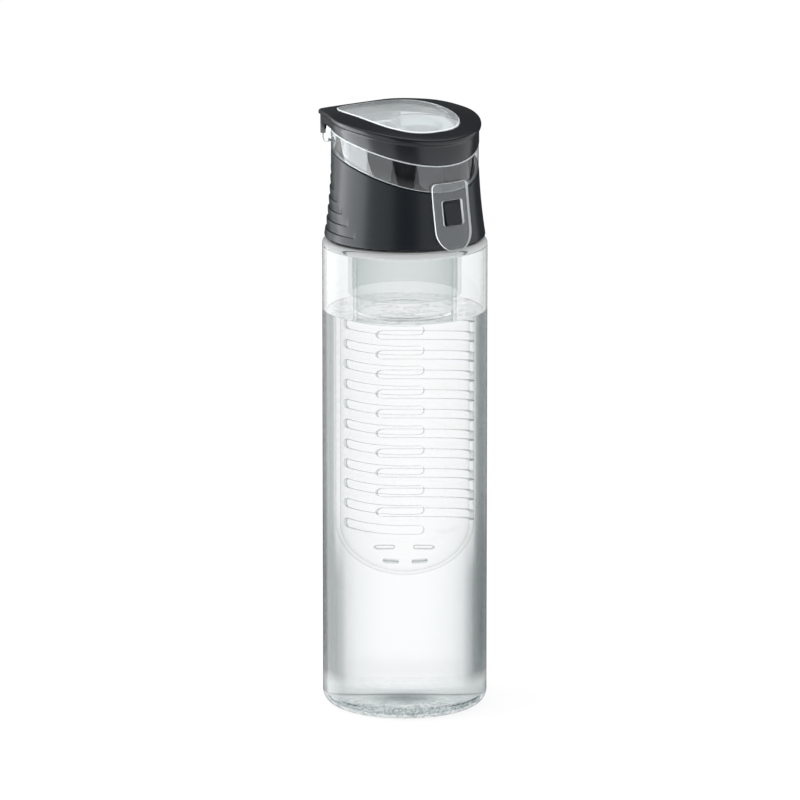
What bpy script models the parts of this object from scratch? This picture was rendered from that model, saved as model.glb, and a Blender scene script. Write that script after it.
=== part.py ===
"""Fruit infuser drinking bottle: clear bottle, screw cap, flip lid with a latch, and a hanging strainer.

Metres, +Z up. The origin is the centre of the base, on the bottle's axis.
The latch faces -Y and the lid's hinge is at +Y.
"""
import math

import bmesh
import bpy
import numpy as np
from mathutils import Matrix, Vector

# Fits and mesh fineness
GAP = 0.0003
OVERRUN = 0.001
WELD = 0.00001
SHARP_ANGLE = math.radians(32)
BOTTLE_SEGMENTS = 48
BODY_SEGMENTS = 40
CAP_SEGMENTS = 56
SMALL_SEGMENTS = 32
CORNER_STEPS = 4
FINE_CORNER_STEPS = 2

# Bottle
BODY_RADIUS = 0.035
BODY_WALL = 0.0017
BASE_CORNER = 0.0059
INNER_CORNER = 0.003
STANDING_RING_WIDTH = 0.0026
PUSH_UP_HEIGHT = 0.0035
SHOULDER_HEIGHT = 0.202
SHOULDER_CORNER = 0.0025
NECK_INSET = 0.0037
NECK_WALL = 0.0023
NECK_HEIGHT = 0.015
NECK_FILLET = 0.0008

# Neck seal
SEAL_WIDTH = 0.0019
SEAL_THICKNESS = 0.0015

# Cap shell
SHELL_LIFT = 0.001
SHELL_INSET = 0.0008
SHELL_FLARE = 0.003
SHELL_WALL = 0.0018
SHELL_HEIGHT = 0.039
SHELL_EDGE = 0.0012
RIM_FALL = 0.0149
RIM_EDGE = 0.0004
RING_SPACING = 0.0003

# Finger ribs round the back of the shell
RIB_COUNT = 7
RIB_FIRST_HEIGHT = 0.0033
RIB_PITCH = 0.00445
RIB_DEPTH = 0.0008
RIB_LEDGE = 0.0004
RIB_LOWEST_REACH = math.radians(104)
RIB_HIGHEST_REACH = math.radians(56)

# Catch under the latch tab
CATCH_WIDTH = 0.0074
CATCH_DROP = 0.0186
CATCH_HEIGHT = 0.01
CATCH_REACH = 0.0023

# Cap insert: deck, threaded skirt, strainer collar and spout
THREAD_PLAY = 0.0006
SKIRT_WALL = 0.0018
SKIRT_LIFT = 0.0019
DECK_THICKNESS = 0.002
SPOUT_BORE_INSET = 0.00325
SPOUT_RADIUS = 0.0105
SPOUT_BORE_RADIUS = 0.00775
SPOUT_RISE = 0.0035
SPOUT_LIP_EDGE = 0.0007
COLLAR_WALL = 0.0016
COLLAR_DEPTH = 0.008

# Strainer: frosted holder and slotted basket
HOLDER_PLAY = 0.0012
HOLDER_WALL = 0.0016
HOLDER_LENGTH = 0.0394
BASKET_WALL = 0.0015
BASKET_PLAY = 0.0005
BASKET_OVERLAP = 0.0166
BASKET_LENGTH = 0.1399
SLOT_COUNT = 11
SLOT_PITCH = 0.00866
SLOT_HEIGHT = 0.0038
SLOT_FIRST_HEIGHT = 0.0233
SLOT_REACH = math.radians(42)
SLOT_AZIMUTH = math.radians(-148.6)
SLOT_CORNER = 0.0012
SLOT_STEPS = 3
DOME_RINGS = 5
DOME_SLOT_TURN = math.radians(19.9)
DOME_SLOT_HEIGHT = 0.002
DOME_SLOT_LATITUDE = math.radians(-36)
DOME_SLOT_SPREAD = math.radians(36)
DOME_SLOT_AZIMUTH = math.radians(-144)

# Hinge behind the lid
HINGE_STANDOFF = 0.0027
HINGE_LIFT = 0.0008
KNUCKLE_RADIUS = 0.0024
PIN_RADIUS = 0.0012
PIN_RECESS = 0.0002
LUG_WIDTH = 0.0044
LUG_GAP = 0.0004
LUG_OUTER_X = 0.0168
LUG_STEPS = 10
FOOT_DEPTH = 0.0055
FOOT_SLANT = -55
PIN_SIDES = 16

# Lid plan and top
LID_OVERHANG = 0.0002
LID_BACK_REACH = 0.003
LUG_COVER_PLAY = 0.0005
LID_CORNER_SHARPNESS_SHARE = 16.0
LID_RISE = 0.0138
LID_CREST_Y = 0.012
LID_FALL = 0.0057
FRAME_LOW_RISE = 0.0084
FRAME_LOW_CREST_Y = 0.02
FRAME_LOW_FALL = 0.0111
FRAME_WALL = 0.0013
FRAME_FLANGE = 0.0018
FRAME_CROWN = 0.001
LIP_REACH = 0.0009
LIP_HEIGHT = 0.0022
LIP_EDGE = 0.0007
BACK_WALL_LOW_RISE = 0.0038

# Window in the lid
WINDOW_SIDE_RIM = 0.0099
WINDOW_FRONT_RIM = 0.0074
WINDOW_BACK_RIM = 0.0034
WINDOW_ROUNDNESS_SHARE = 2.6
PANE_PLAY = 0.0004
PANE_DOME = 0.001
PANE_MID_SHARE = 0.55

# Clear lid body
LID_WALL = 0.0016
BAND_WALL = 0.002
BAND_LIFT = 0.0004
BAND_STEP_PLAY = 0.0005

# Spout plug and the boss that holds it
PLUG_OVERHANG = 0.003
PLUG_THICKNESS = 0.0028
PLUG_NOSE_PLAY = 0.0005
PLUG_NOSE_DEPTH = 0.0035
PLUG_STUD_HEIGHT = 0.0025
BOSS_INSET = 0.0033
BOSS_WALL = 0.0018

# Latch tab
TAB_WIDTH = 0.0184
TAB_TOP_RISE = 0.0048
TAB_HEIGHT = 0.0302
TAB_THICKNESS = 0.0018
TAB_FLARE_PLAY = 0.0015
TAB_FLARE_POWER_SHARE = 1.3
TAB_TOP_CORNER = 0.0015
TAB_WINDOW_WIDTH = 0.0102
TAB_WINDOW_HEIGHT = 0.0113
TAB_WINDOW_CORNER = 0.001
TAB_PIVOT_DROP = 0.0008
TAB_COLUMNS = 8
TAB_ROWS = 10

# Heights along the axis that follow from the sizes above
NECK_TOP = SHOULDER_HEIGHT + NECK_HEIGHT
SEAL_BOTTOM = NECK_TOP + GAP
DECK_BOTTOM = SEAL_BOTTOM + SEAL_THICKNESS + GAP
DECK_TOP = DECK_BOTTOM + DECK_THICKNESS
SHELL_BOTTOM = SHOULDER_HEIGHT + SHELL_LIFT
RIM_CREST = SHELL_BOTTOM + SHELL_HEIGHT
SPOUT_TOP = RIM_CREST + SPOUT_RISE
HINGE_Z = RIM_CREST + HINGE_LIFT
HOLDER_TOP = DECK_BOTTOM - GAP
HOLDER_BOTTOM = HOLDER_TOP - HOLDER_LENGTH
BASKET_TOP = HOLDER_BOTTOM + BASKET_OVERLAP
BASKET_BOTTOM = BASKET_TOP - BASKET_LENGTH
PLUG_BOTTOM = SPOUT_TOP + GAP
PLUG_TOP = PLUG_BOTTOM + PLUG_THICKNESS
BOSS_BOTTOM = PLUG_TOP + GAP
TAB_TOP = RIM_CREST - RIM_FALL + TAB_TOP_RISE
TAB_PIVOT_Z = TAB_TOP - TAB_PIVOT_DROP
CATCH_BOTTOM = TAB_TOP - CATCH_DROP

# Radii and widths that follow, from the body inward
PUSH_UP_RADIUS = BODY_RADIUS - BASE_CORNER - STANDING_RING_WIDTH
SHELL_BASE_RADIUS = BODY_RADIUS - SHELL_INSET
SHELL_TOP_RADIUS = SHELL_BASE_RADIUS - SHELL_FLARE
NECK_RADIUS = SHELL_TOP_RADIUS - NECK_INSET
SKIRT_INNER_RADIUS = NECK_RADIUS + THREAD_PLAY
SKIRT_RADIUS = SKIRT_INNER_RADIUS + SKIRT_WALL
HOLDER_RADIUS = NECK_RADIUS - NECK_WALL - HOLDER_PLAY
HOLDER_BORE_RADIUS = HOLDER_RADIUS - HOLDER_WALL
COLLAR_RADIUS = HOLDER_BORE_RADIUS - GAP
COLLAR_INNER_RADIUS = COLLAR_RADIUS - COLLAR_WALL
BASKET_RADIUS = HOLDER_BORE_RADIUS - BASKET_PLAY
DOME_CENTRE = BASKET_BOTTOM + BASKET_RADIUS
SPOUT_OFFSET = COLLAR_INNER_RADIUS - SPOUT_BORE_RADIUS - SPOUT_BORE_INSET
SPOUT_CENTRE = Vector((0, -SPOUT_OFFSET, 0))
PLUG_RADIUS = SPOUT_RADIUS + PLUG_OVERHANG
BOSS_RADIUS = PLUG_RADIUS - BOSS_INSET
HINGE_Y = SHELL_TOP_RADIUS + HINGE_STANDOFF
PIN_BORE_RADIUS = PIN_RADIUS + GAP
PIN_LENGTH = 2 * (LUG_OUTER_X - PIN_RECESS)
LUG_INNER_X = LUG_OUTER_X - LUG_WIDTH
KNUCKLE_HALF_WIDTH = LUG_INNER_X - LUG_GAP
BAND_RADIUS = SHELL_TOP_RADIUS
LID_RADIUS = BAND_RADIUS + LID_OVERHANG
LID_BACK_Y = HINGE_Y + LID_BACK_REACH
LID_BACK_HALF_WIDTH = LUG_OUTER_X + FRAME_WALL + LUG_COVER_PLAY
BACK_WALL_REACH = math.atan2(LID_BACK_HALF_WIDTH, LID_BACK_Y)
WINDOW_HALF_WIDTH = LID_RADIUS - WINDOW_SIDE_RIM
WINDOW_FRONT_Y = WINDOW_FRONT_RIM - LID_RADIUS
WINDOW_BACK_Y = LID_BACK_Y - WINDOW_BACK_RIM
BAND_STEP_RADIUS = LID_RADIUS - FRAME_WALL - BAND_STEP_PLAY
ROOF_INNER_RADIUS = BAND_STEP_RADIUS - LID_WALL
TAB_INNER_RADIUS = BAND_RADIUS + GAP
TAB_FLARE = SHELL_FLARE + TAB_FLARE_PLAY

# Materials: colour, roughness, alpha
CLEAR_PLASTIC = ("clear_copolyester", (0.93, 0.95, 0.95), 0.05, 0.3)
FROSTED_PLASTIC = ("frosted_polypropylene", (0.9, 0.91, 0.91), 0.45, 0.55)
BLACK_PLASTIC = ("black_abs", (0.018, 0.021, 0.024), 0.28, 1.0)
GREY_SILICONE = ("grey_silicone", (0.12, 0.13, 0.14), 0.6, 1.0)
PIN_STEEL = ("polished_steel", (0.62, 0.62, 0.6), 0.25, 1.0)


def clear_scene():
    """Removes whatever objects the open file holds."""
    for item in list(bpy.data.objects):
        bpy.data.objects.remove(item, do_unlink=True)


def material(finish):
    """Principled material for a (name, colour, roughness, alpha) finish, made once."""
    name, colour, roughness, alpha = finish
    found = bpy.data.materials.get(name)
    if found:
        return found
    made = bpy.data.materials.new(name)
    made.use_nodes = True
    shader = made.node_tree.nodes["Principled BSDF"]
    shader.inputs["Base Color"].default_value = (*colour, 1)
    shader.inputs["Roughness"].default_value = roughness
    shader.inputs["Metallic"].default_value = float(finish is PIN_STEEL)
    shader.inputs["Alpha"].default_value = alpha
    return made


def add_object(name, mesh, finish=None):
    """Links a finished bmesh as an object with outward faces and one material."""
    bmesh.ops.recalc_face_normals(mesh, faces=mesh.faces)
    data = bpy.data.meshes.new(name)
    mesh.to_mesh(data)
    mesh.free()
    made = bpy.data.objects.new(name, data)
    bpy.context.scene.collection.objects.link(made)
    if finish:
        data.materials.append(material(finish))
    return made


def turned(name, profile, finish=None, segments=BODY_SEGMENTS, closed=False, centre=Vector((0, 0, 0))):
    """Solid of revolution: a (radius, height) profile spun once round a vertical axis through centre."""
    mesh = bmesh.new()
    points = [mesh.verts.new(centre + Vector((radius, 0, height))) for radius, height in profile]
    edges = [mesh.edges.new(pair) for pair in zip(points, points[1:])]
    if closed:
        edges.append(mesh.edges.new((points[-1], points[0])))
    bmesh.ops.spin(mesh, geom=points + edges, cent=centre, axis=Vector((0, 0, 1)),
                   angle=math.tau, steps=segments, use_merge=True, use_duplicate=False)
    bmesh.ops.remove_doubles(mesh, verts=mesh.verts, dist=WELD)
    return add_object(name, mesh, finish)


def lofted(name, rings, finish=None, closed=False):
    """Skin of quads from each ring of points to the next; a ring of one point is a pole."""
    mesh = bmesh.new()
    loops = [[mesh.verts.new(point) for point in ring] for ring in rings]
    pairs = list(zip(loops, loops[1:]))
    if closed:
        pairs.append((loops[-1], loops[0]))
    for lower, upper in pairs:
        count = max(len(lower), len(upper))
        for step in range(count):
            after = (step + 1) % count
            if len(lower) == 1:
                mesh.faces.new((lower[0], upper[after], upper[step]))
            elif len(upper) == 1:
                mesh.faces.new((lower[step], lower[after], upper[0]))
            else:
                mesh.faces.new((lower[step], lower[after], upper[after], upper[step]))
    return add_object(name, mesh, finish)


def extruded(name, outline, direction, finish=None):
    """Prism: a flat outline of 3-D points pushed along a direction."""
    mesh = bmesh.new()
    face = mesh.faces.new([mesh.verts.new(point) for point in outline])
    pushed = bmesh.ops.extrude_face_region(mesh, geom=[face])["geom"]
    moved = [item for item in pushed if isinstance(item, bmesh.types.BMVert)]
    bmesh.ops.translate(mesh, verts=moved, vec=direction)
    return add_object(name, mesh, finish)


def combined(target, tool, operation):
    """Joins to the target, cuts from it or keeps the part of it shared with the tool."""
    step = target.modifiers.new("combine", "BOOLEAN")
    step.operation = operation
    step.solver = "EXACT"
    step.object = tool
    tree = bpy.context.evaluated_depsgraph_get()
    result = bpy.data.meshes.new_from_object(target.evaluated_get(tree))
    target.modifiers.clear()
    target.data = result
    bpy.data.objects.remove(tool, do_unlink=True)
    return target


def gathered(name, pieces):
    """One object made of separate bodies that don't touch."""
    mesh = bmesh.new()
    for piece in pieces:
        mesh.from_mesh(piece.data)
        bpy.data.objects.remove(piece, do_unlink=True)
    return add_object(name, mesh)


def arc(centre_a, centre_b, radius, start, end, steps=CORNER_STEPS):
    """Points of an arc in a plane, both ends included; angles in degrees."""
    turns = [math.radians(start + (end - start) * step / steps) for step in range(steps + 1)]
    return [(centre_a + radius * math.cos(turn), centre_b + radius * math.sin(turn)) for turn in turns]


def rounded_outline(width, bottom, top, corner):
    """(x, z) points of an upright rectangle about x = 0 with round corners."""
    side = width / 2 - corner
    points = arc(side, bottom + corner, corner, -90, 0, FINE_CORNER_STEPS)
    points += arc(side, top - corner, corner, 0, 90, FINE_CORNER_STEPS)
    points += arc(-side, top - corner, corner, 90, 180, FINE_CORNER_STEPS)
    points += arc(-side, bottom + corner, corner, 180, 270, FINE_CORNER_STEPS)
    return points


def bowed(y, crest_z, crest_y, front_y, fall):
    """Height of an edge that falls away from its crest as a parabola, by fall at front_y."""
    return crest_z - fall * ((crest_y - y) / (crest_y - front_y)) ** 2


def rim_height(y):
    """Slanted top edge of the cap shell."""
    return bowed(y, RIM_CREST, SHELL_TOP_RADIUS, -SHELL_TOP_RADIUS, RIM_FALL)


def lid_height(y):
    """Top of the lid frame at its outer edge."""
    return bowed(y, RIM_CREST + LID_RISE, LID_CREST_Y, -LID_RADIUS, LID_FALL)


def window_height(y):
    """Top of the lid frame at the window's edge, crowned above its outer edge except at the front."""
    return bowed(y, RIM_CREST + LID_RISE + FRAME_CROWN, LID_CREST_Y, -LID_RADIUS, LID_FALL + FRAME_CROWN)


def frame_low_height(y):
    """Lower edge of the lid frame."""
    return bowed(y, RIM_CREST + FRAME_LOW_RISE, FRAME_LOW_CREST_Y, -LID_RADIUS, FRAME_LOW_FALL)


def shell_radius(height):
    """Outer radius of the cap shell: widest at the bottom, hollow in between."""
    up = np.clip((height - SHELL_BOTTOM) / SHELL_HEIGHT, 0, 1)
    return SHELL_TOP_RADIUS + (SHELL_BASE_RADIUS - SHELL_TOP_RADIUS) * (1 - up) ** 2


ANGLES = np.arange(CAP_SEGMENTS) * math.tau / CAP_SEGMENTS
FROM_BACK = np.abs((ANGLES - math.pi / 2 + math.pi) % math.tau - math.pi)


def ring(radius, height_at):
    """Ring of points about the bottle's axis; height_at gives each point's height from its y."""
    x = radius * np.cos(ANGLES)
    y = radius * np.sin(ANGLES)
    return list(np.column_stack([x, y, height_at(y) + np.zeros(CAP_SEGMENTS)]))


def lid_outline(offset):
    """Radii of the lid's plan: a circle whose tangents run back to a straight hinge edge, offset outward."""
    corner = math.atan2(LID_BACK_HALF_WIDTH, LID_BACK_Y)
    tangent = corner + math.acos(LID_RADIUS / math.hypot(LID_BACK_HALF_WIDTH, LID_BACK_Y))
    circle = LID_RADIUS + offset
    side = circle / np.cos(np.clip(FROM_BACK - tangent, -tangent, 0))
    back = (LID_BACK_Y + offset) / np.cos(np.clip(FROM_BACK, 0, tangent))
    power = LID_CORNER_SHARPNESS_SHARE
    blend = side * (1 + (side / back) ** power) ** (-1 / power)
    return np.where(FROM_BACK < tangent, blend, circle)


def window_ring(inset, height_at, share=1):
    """Ring of points along the lid window's outline, drawn in by inset and shrunk to share."""
    centre = (WINDOW_FRONT_Y + WINDOW_BACK_Y) / 2
    half_length = (WINDOW_BACK_Y - WINDOW_FRONT_Y) / 2
    power = 2 / WINDOW_ROUNDNESS_SHARE
    x = np.sign(np.cos(ANGLES)) * np.abs(np.cos(ANGLES)) ** power * (WINDOW_HALF_WIDTH - inset) * share
    y = np.sign(np.sin(ANGLES)) * np.abs(np.sin(ANGLES)) ** power * (half_length - inset) * share + centre
    return list(np.column_stack([x, y, height_at(y)]))


def bottle_body():
    """Round bottle with a raised base, a square shoulder and a plain neck."""
    inner = BODY_RADIUS - BODY_WALL
    bore = NECK_RADIUS - NECK_WALL
    foot = BODY_RADIUS - BASE_CORNER
    shoulder_centre = SHOULDER_HEIGHT - SHOULDER_CORNER
    push_up = [(share, PUSH_UP_HEIGHT * (1 - share ** 2)) for share in (0, 0.65)]
    profile = [(PUSH_UP_RADIUS * share, height) for share, height in push_up]
    profile += [(PUSH_UP_RADIUS, 0)]
    profile += arc(foot, BASE_CORNER, BASE_CORNER, -90, 0)
    profile += arc(BODY_RADIUS - SHOULDER_CORNER, shoulder_centre, SHOULDER_CORNER, 0, 90, FINE_CORNER_STEPS)
    profile += arc(NECK_RADIUS + NECK_FILLET, SHOULDER_HEIGHT + NECK_FILLET, NECK_FILLET, 270, 180, 2)
    profile += [(NECK_RADIUS, NECK_TOP), (bore, NECK_TOP), (bore, SHOULDER_HEIGHT)]
    roof = SHOULDER_HEIGHT - BODY_WALL
    profile += [(NECK_RADIUS, roof), (BODY_RADIUS - SHOULDER_CORNER, roof), (inner, shoulder_centre)]
    profile += arc(inner - INNER_CORNER, BODY_WALL + INNER_CORNER, INNER_CORNER, 0, -90, CORNER_STEPS - 1)
    profile += [(PUSH_UP_RADIUS, BODY_WALL)]
    profile += [(PUSH_UP_RADIUS * share, height + BODY_WALL) for share, height in reversed(push_up)]
    return turned("bottle_body", profile, CLEAR_PLASTIC, BOTTLE_SEGMENTS)


def neck_seal():
    """Flat silicone ring between the neck and the deck."""
    outer = NECK_RADIUS - (NECK_WALL - SEAL_WIDTH) / 2
    inner = outer - SEAL_WIDTH
    top = SEAL_BOTTOM + SEAL_THICKNESS
    profile = [(inner, SEAL_BOTTOM), (outer, SEAL_BOTTOM), (outer, top), (inner, top)]
    return turned("neck_seal", profile, GREY_SILICONE, closed=True)


def rib_rings():
    """(height, depth, angular reach) of every ring of the finger ribs, lowest first."""
    rows = []
    for row in range(RIB_COUNT):
        bottom = SHELL_BOTTOM + RIB_FIRST_HEIGHT + RIB_PITCH * row
        reach = RIB_LOWEST_REACH + (RIB_HIGHEST_REACH - RIB_LOWEST_REACH) * row / (RIB_COUNT - 1)
        rows.append((bottom, 0, reach))
        rows.append((bottom + RIB_LEDGE, RIB_DEPTH, reach))
    rows.append((SHELL_BOTTOM + RIB_FIRST_HEIGHT + RIB_PITCH * RIB_COUNT, 0, RIB_HIGHEST_REACH))
    return rows


def shell_knuckle():
    """Barrel in the middle of the hinge, on a foot that runs down the shell's back into its wall."""
    foot_y = HINGE_Y - KNUCKLE_RADIUS - FOOT_DEPTH
    foot_top = RIM_CREST - RIM_EDGE
    outline = [(foot_y, foot_top), (foot_y, foot_top - FOOT_DEPTH)]
    outline += arc(HINGE_Y, HINGE_Z, KNUCKLE_RADIUS, FOOT_SLANT, 180, LUG_STEPS)
    outline += [(HINGE_Y - KNUCKLE_RADIUS, foot_top)]
    side = [(-KNUCKLE_HALF_WIDTH, y, z) for y, z in outline]
    knuckle = extruded("shell_knuckle", side, Vector((2 * KNUCKLE_HALF_WIDTH, 0, 0)))
    inside = SHELL_TOP_RADIUS - SHELL_WALL / 2
    bore = [(0, SHELL_BOTTOM), (inside, SHELL_BOTTOM), (inside, SPOUT_TOP), (0, SPOUT_TOP)]
    return combined(knuckle, turned("shell_bore", bore, segments=CAP_SEGMENTS), "DIFFERENCE")


def lid_lug(name, x):
    """Lid lug from x outward along +X: a round eye on an arm that rises behind the band into the roof."""
    front_y = math.sqrt(BAND_RADIUS ** 2 - LUG_OUTER_X ** 2) - BAND_WALL / 2
    back_y = HINGE_Y - LUG_COVER_PLAY
    top = lid_height(back_y) - FRAME_FLANGE - GAP - LID_WALL / 2
    foot = RIM_CREST + BAND_LIFT
    outline = [(front_y, top), (front_y, foot), (HINGE_Y - KNUCKLE_RADIUS, foot)]
    outline += arc(HINGE_Y, HINGE_Z, KNUCKLE_RADIUS, 190, 440, LUG_STEPS)
    outline += [(back_y, HINGE_Z + KNUCKLE_RADIUS), (back_y, top)]
    return extruded(name, [(x, y, z) for y, z in outline], Vector((LUG_WIDTH, 0, 0)))


def pin_hole():
    """Cutter for the hinge pin's bore, right across the cap."""
    reach = LUG_OUTER_X + OVERRUN
    outline = arc(HINGE_Y, HINGE_Z, PIN_BORE_RADIUS, 0, 360 - 360 / PIN_SIDES, PIN_SIDES - 1)
    return extruded("pin_hole", [(-reach, y, z) for y, z in outline], Vector((2 * reach, 0, 0)))


def catch_wedge():
    """Ramp on the shell's front that the latch window hooks under."""
    bottom = CATCH_BOTTOM
    top = bottom + CATCH_HEIGHT
    wall = SHELL_WALL / 2
    low_face = float(shell_radius(bottom))
    high_face = float(shell_radius(top))
    outline = [(-low_face + wall, bottom), (-low_face - CATCH_REACH, bottom),
               (-high_face - SHELL_EDGE / 4, top), (-high_face + wall, top)]
    side = [(-CATCH_WIDTH / 2, y, z) for y, z in outline]
    return extruded("catch_wedge", side, Vector((CATCH_WIDTH, 0, 0)))


def cap_shell():
    """Black outer shell: slanted rim, rows of finger ribs round the back, catch and hinge barrel."""
    rows = [(SHELL_BOTTOM, SHELL_EDGE / 2, 0), (SHELL_BOTTOM + SHELL_EDGE, 0, 0)] + rib_rings()
    y_nominal = SHELL_TOP_RADIUS * np.sin(ANGLES)
    rim = rim_height(y_nominal)
    rings = []
    for index, (height, depth, reach) in enumerate(rows):
        below_rim = rim - (len(rows) + 1 - index) * RING_SPACING
        heights = np.minimum(height, below_rim)
        cut = depth if reach == 0 else depth * (FROM_BACK <= reach)
        rings.append(ring(shell_radius(heights) - cut, lambda y, heights=heights: heights))
    rings.append(ring(shell_radius(rim), lambda y: rim - RIM_EDGE))
    rings.append(ring(shell_radius(rim) - RIM_EDGE, lambda y: rim))
    rings.append(ring(shell_radius(rim) - SHELL_WALL, lambda y: rim))
    middle = (SHELL_BOTTOM + rim) / 2
    rings.append(ring(shell_radius(middle) - SHELL_WALL, lambda y: middle))
    rings.append(ring(SHELL_BASE_RADIUS - SHELL_WALL, lambda y: SHELL_BOTTOM))
    shell = lofted("cap_shell", rings, BLACK_PLASTIC, closed=True)
    combined(shell, catch_wedge(), "UNION")
    combined(shell, shell_knuckle(), "UNION")
    return combined(shell, pin_hole(), "DIFFERENCE")


def cap_insert():
    """Black deck with the neck's skirt, the strainer's collar and the drinking spout."""
    skirt_bottom = SHOULDER_HEIGHT + SKIRT_LIFT
    collar_bottom = DECK_BOTTOM - COLLAR_DEPTH
    profile = [(0, DECK_BOTTOM), (COLLAR_INNER_RADIUS, DECK_BOTTOM), (COLLAR_INNER_RADIUS, collar_bottom),
               (COLLAR_RADIUS, collar_bottom), (COLLAR_RADIUS, DECK_BOTTOM),
               (SKIRT_INNER_RADIUS, DECK_BOTTOM), (SKIRT_INNER_RADIUS, skirt_bottom),
               (SKIRT_RADIUS, skirt_bottom), (SKIRT_RADIUS, DECK_TOP), (0, DECK_TOP)]
    insert = turned("cap_insert", profile, BLACK_PLASTIC)
    foot = DECK_BOTTOM + DECK_THICKNESS / 2
    spout = [(0, foot), (SPOUT_RADIUS, foot), (SPOUT_RADIUS, SPOUT_TOP - SPOUT_LIP_EDGE),
             (SPOUT_RADIUS - SPOUT_LIP_EDGE, SPOUT_TOP), (0, SPOUT_TOP)]
    tube = turned("spout", spout, segments=SMALL_SEGMENTS, centre=SPOUT_CENTRE)
    combined(insert, tube, "UNION")
    bore = [(0, DECK_BOTTOM - OVERRUN), (SPOUT_BORE_RADIUS, DECK_BOTTOM - OVERRUN),
            (SPOUT_BORE_RADIUS, SPOUT_TOP + OVERRUN), (0, SPOUT_TOP + OVERRUN)]
    cutter = turned("spout_bore", bore, segments=SMALL_SEGMENTS, centre=SPOUT_CENTRE)
    return combined(insert, cutter, "DIFFERENCE")


def infuser_holder():
    """Frosted tube that is pressed on the collar and carries the basket."""
    edge = HOLDER_WALL / 3
    profile = [(HOLDER_BORE_RADIUS, HOLDER_BOTTOM), (HOLDER_RADIUS - edge, HOLDER_BOTTOM),
               (HOLDER_RADIUS, HOLDER_BOTTOM + edge), (HOLDER_RADIUS, HOLDER_TOP),
               (HOLDER_BORE_RADIUS, HOLDER_TOP)]
    return turned("infuser_holder", profile, FROSTED_PLASTIC, closed=True)


def slot_cutter(name, height, azimuth):
    """Curved block with round corners that cuts one slot through the basket's wall."""
    inner = BASKET_RADIUS - BASKET_WALL - OVERRUN
    outer = BASKET_RADIUS + OVERRUN
    outline = rounded_outline(2 * BASKET_RADIUS * SLOT_REACH, height, height + SLOT_HEIGHT, SLOT_CORNER)
    half = BASKET_RADIUS * SLOT_REACH - SLOT_CORNER
    runs = [half * (2 * step / SLOT_STEPS - 1) for step in range(1, SLOT_STEPS)]
    lower = [(run, height) for run in runs]
    upper = [(run, height + SLOT_HEIGHT) for run in reversed(runs)]
    corner_points = FINE_CORNER_STEPS + 1
    outline = (outline[:2 * corner_points] + upper + outline[2 * corner_points:] + lower)
    turns = [azimuth + run / BASKET_RADIUS for run, _ in outline]
    mesh = bmesh.new()
    loops = []
    for radius in (inner, outer):
        loops.append([mesh.verts.new((radius * math.cos(turn), radius * math.sin(turn), z))
                      for turn, (_, z) in zip(turns, outline)])
    count = len(outline)
    for step in range(count):
        after = (step + 1) % count
        mesh.faces.new((loops[0][step], loops[0][after], loops[1][after], loops[1][step]))
    for loop in loops:
        mesh.faces.new(loop)
    bmesh.ops.triangulate(mesh, faces=[face for face in mesh.faces if len(face.verts) > 4])
    return add_object(name, mesh)


def dome_slot_cutter(name, azimuth):
    """Small block that cuts one slot through the basket's round end, square to its surface."""
    length = BASKET_RADIUS * DOME_SLOT_TURN
    half_height = DOME_SLOT_HEIGHT / 2
    half_depth = BASKET_WALL / 2 + OVERRUN
    outline = rounded_outline(length, -half_height, half_height, half_height / 2)
    block = extruded(name, [(-half_depth, x, z) for x, z in outline], Vector((2 * half_depth, 0, 0)))
    middle = BASKET_RADIUS - BASKET_WALL / 2
    place = (Matrix.Translation((0, 0, DOME_CENTRE)) @ Matrix.Rotation(azimuth, 4, "Z")
             @ Matrix.Rotation(-DOME_SLOT_LATITUDE, 4, "Y") @ Matrix.Translation((middle, 0, 0)))
    block.data.transform(place)
    return block


def infuser_basket():
    """Slotted strainer tube with a round end: two columns of wide slots and small slots in the end."""
    inner = BASKET_RADIUS - BASKET_WALL
    outside = arc(0, DOME_CENTRE, BASKET_RADIUS, -90, 0, DOME_RINGS)
    inside = arc(0, DOME_CENTRE, inner, 0, -90, DOME_RINGS)
    profile = [(0, BASKET_BOTTOM)] + outside[1:] + [(BASKET_RADIUS, BASKET_TOP), (inner, BASKET_TOP)]
    profile += inside[:-1] + [(0, BASKET_BOTTOM + BASKET_WALL)]
    basket = turned("infuser_basket", profile, CLEAR_PLASTIC, SMALL_SEGMENTS)
    cutters = []
    for side in (0, math.pi):
        for row in range(SLOT_COUNT):
            height = BASKET_BOTTOM + SLOT_FIRST_HEIGHT + SLOT_PITCH * row
            cutters.append(slot_cutter("slot", height, SLOT_AZIMUTH + side))
        for step in (0, 1):
            turn = DOME_SLOT_AZIMUTH + side + DOME_SLOT_SPREAD * step
            cutters.append(dome_slot_cutter("dome_slot", turn))
    return combined(basket, gathered("slots", cutters), "DIFFERENCE")


def frame_lower_edge():
    """Heights of the lid frame's lower edge round the plan, but for its deeper back wall."""
    return frame_low_height(lid_outline(0) * np.sin(ANGLES))


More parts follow.
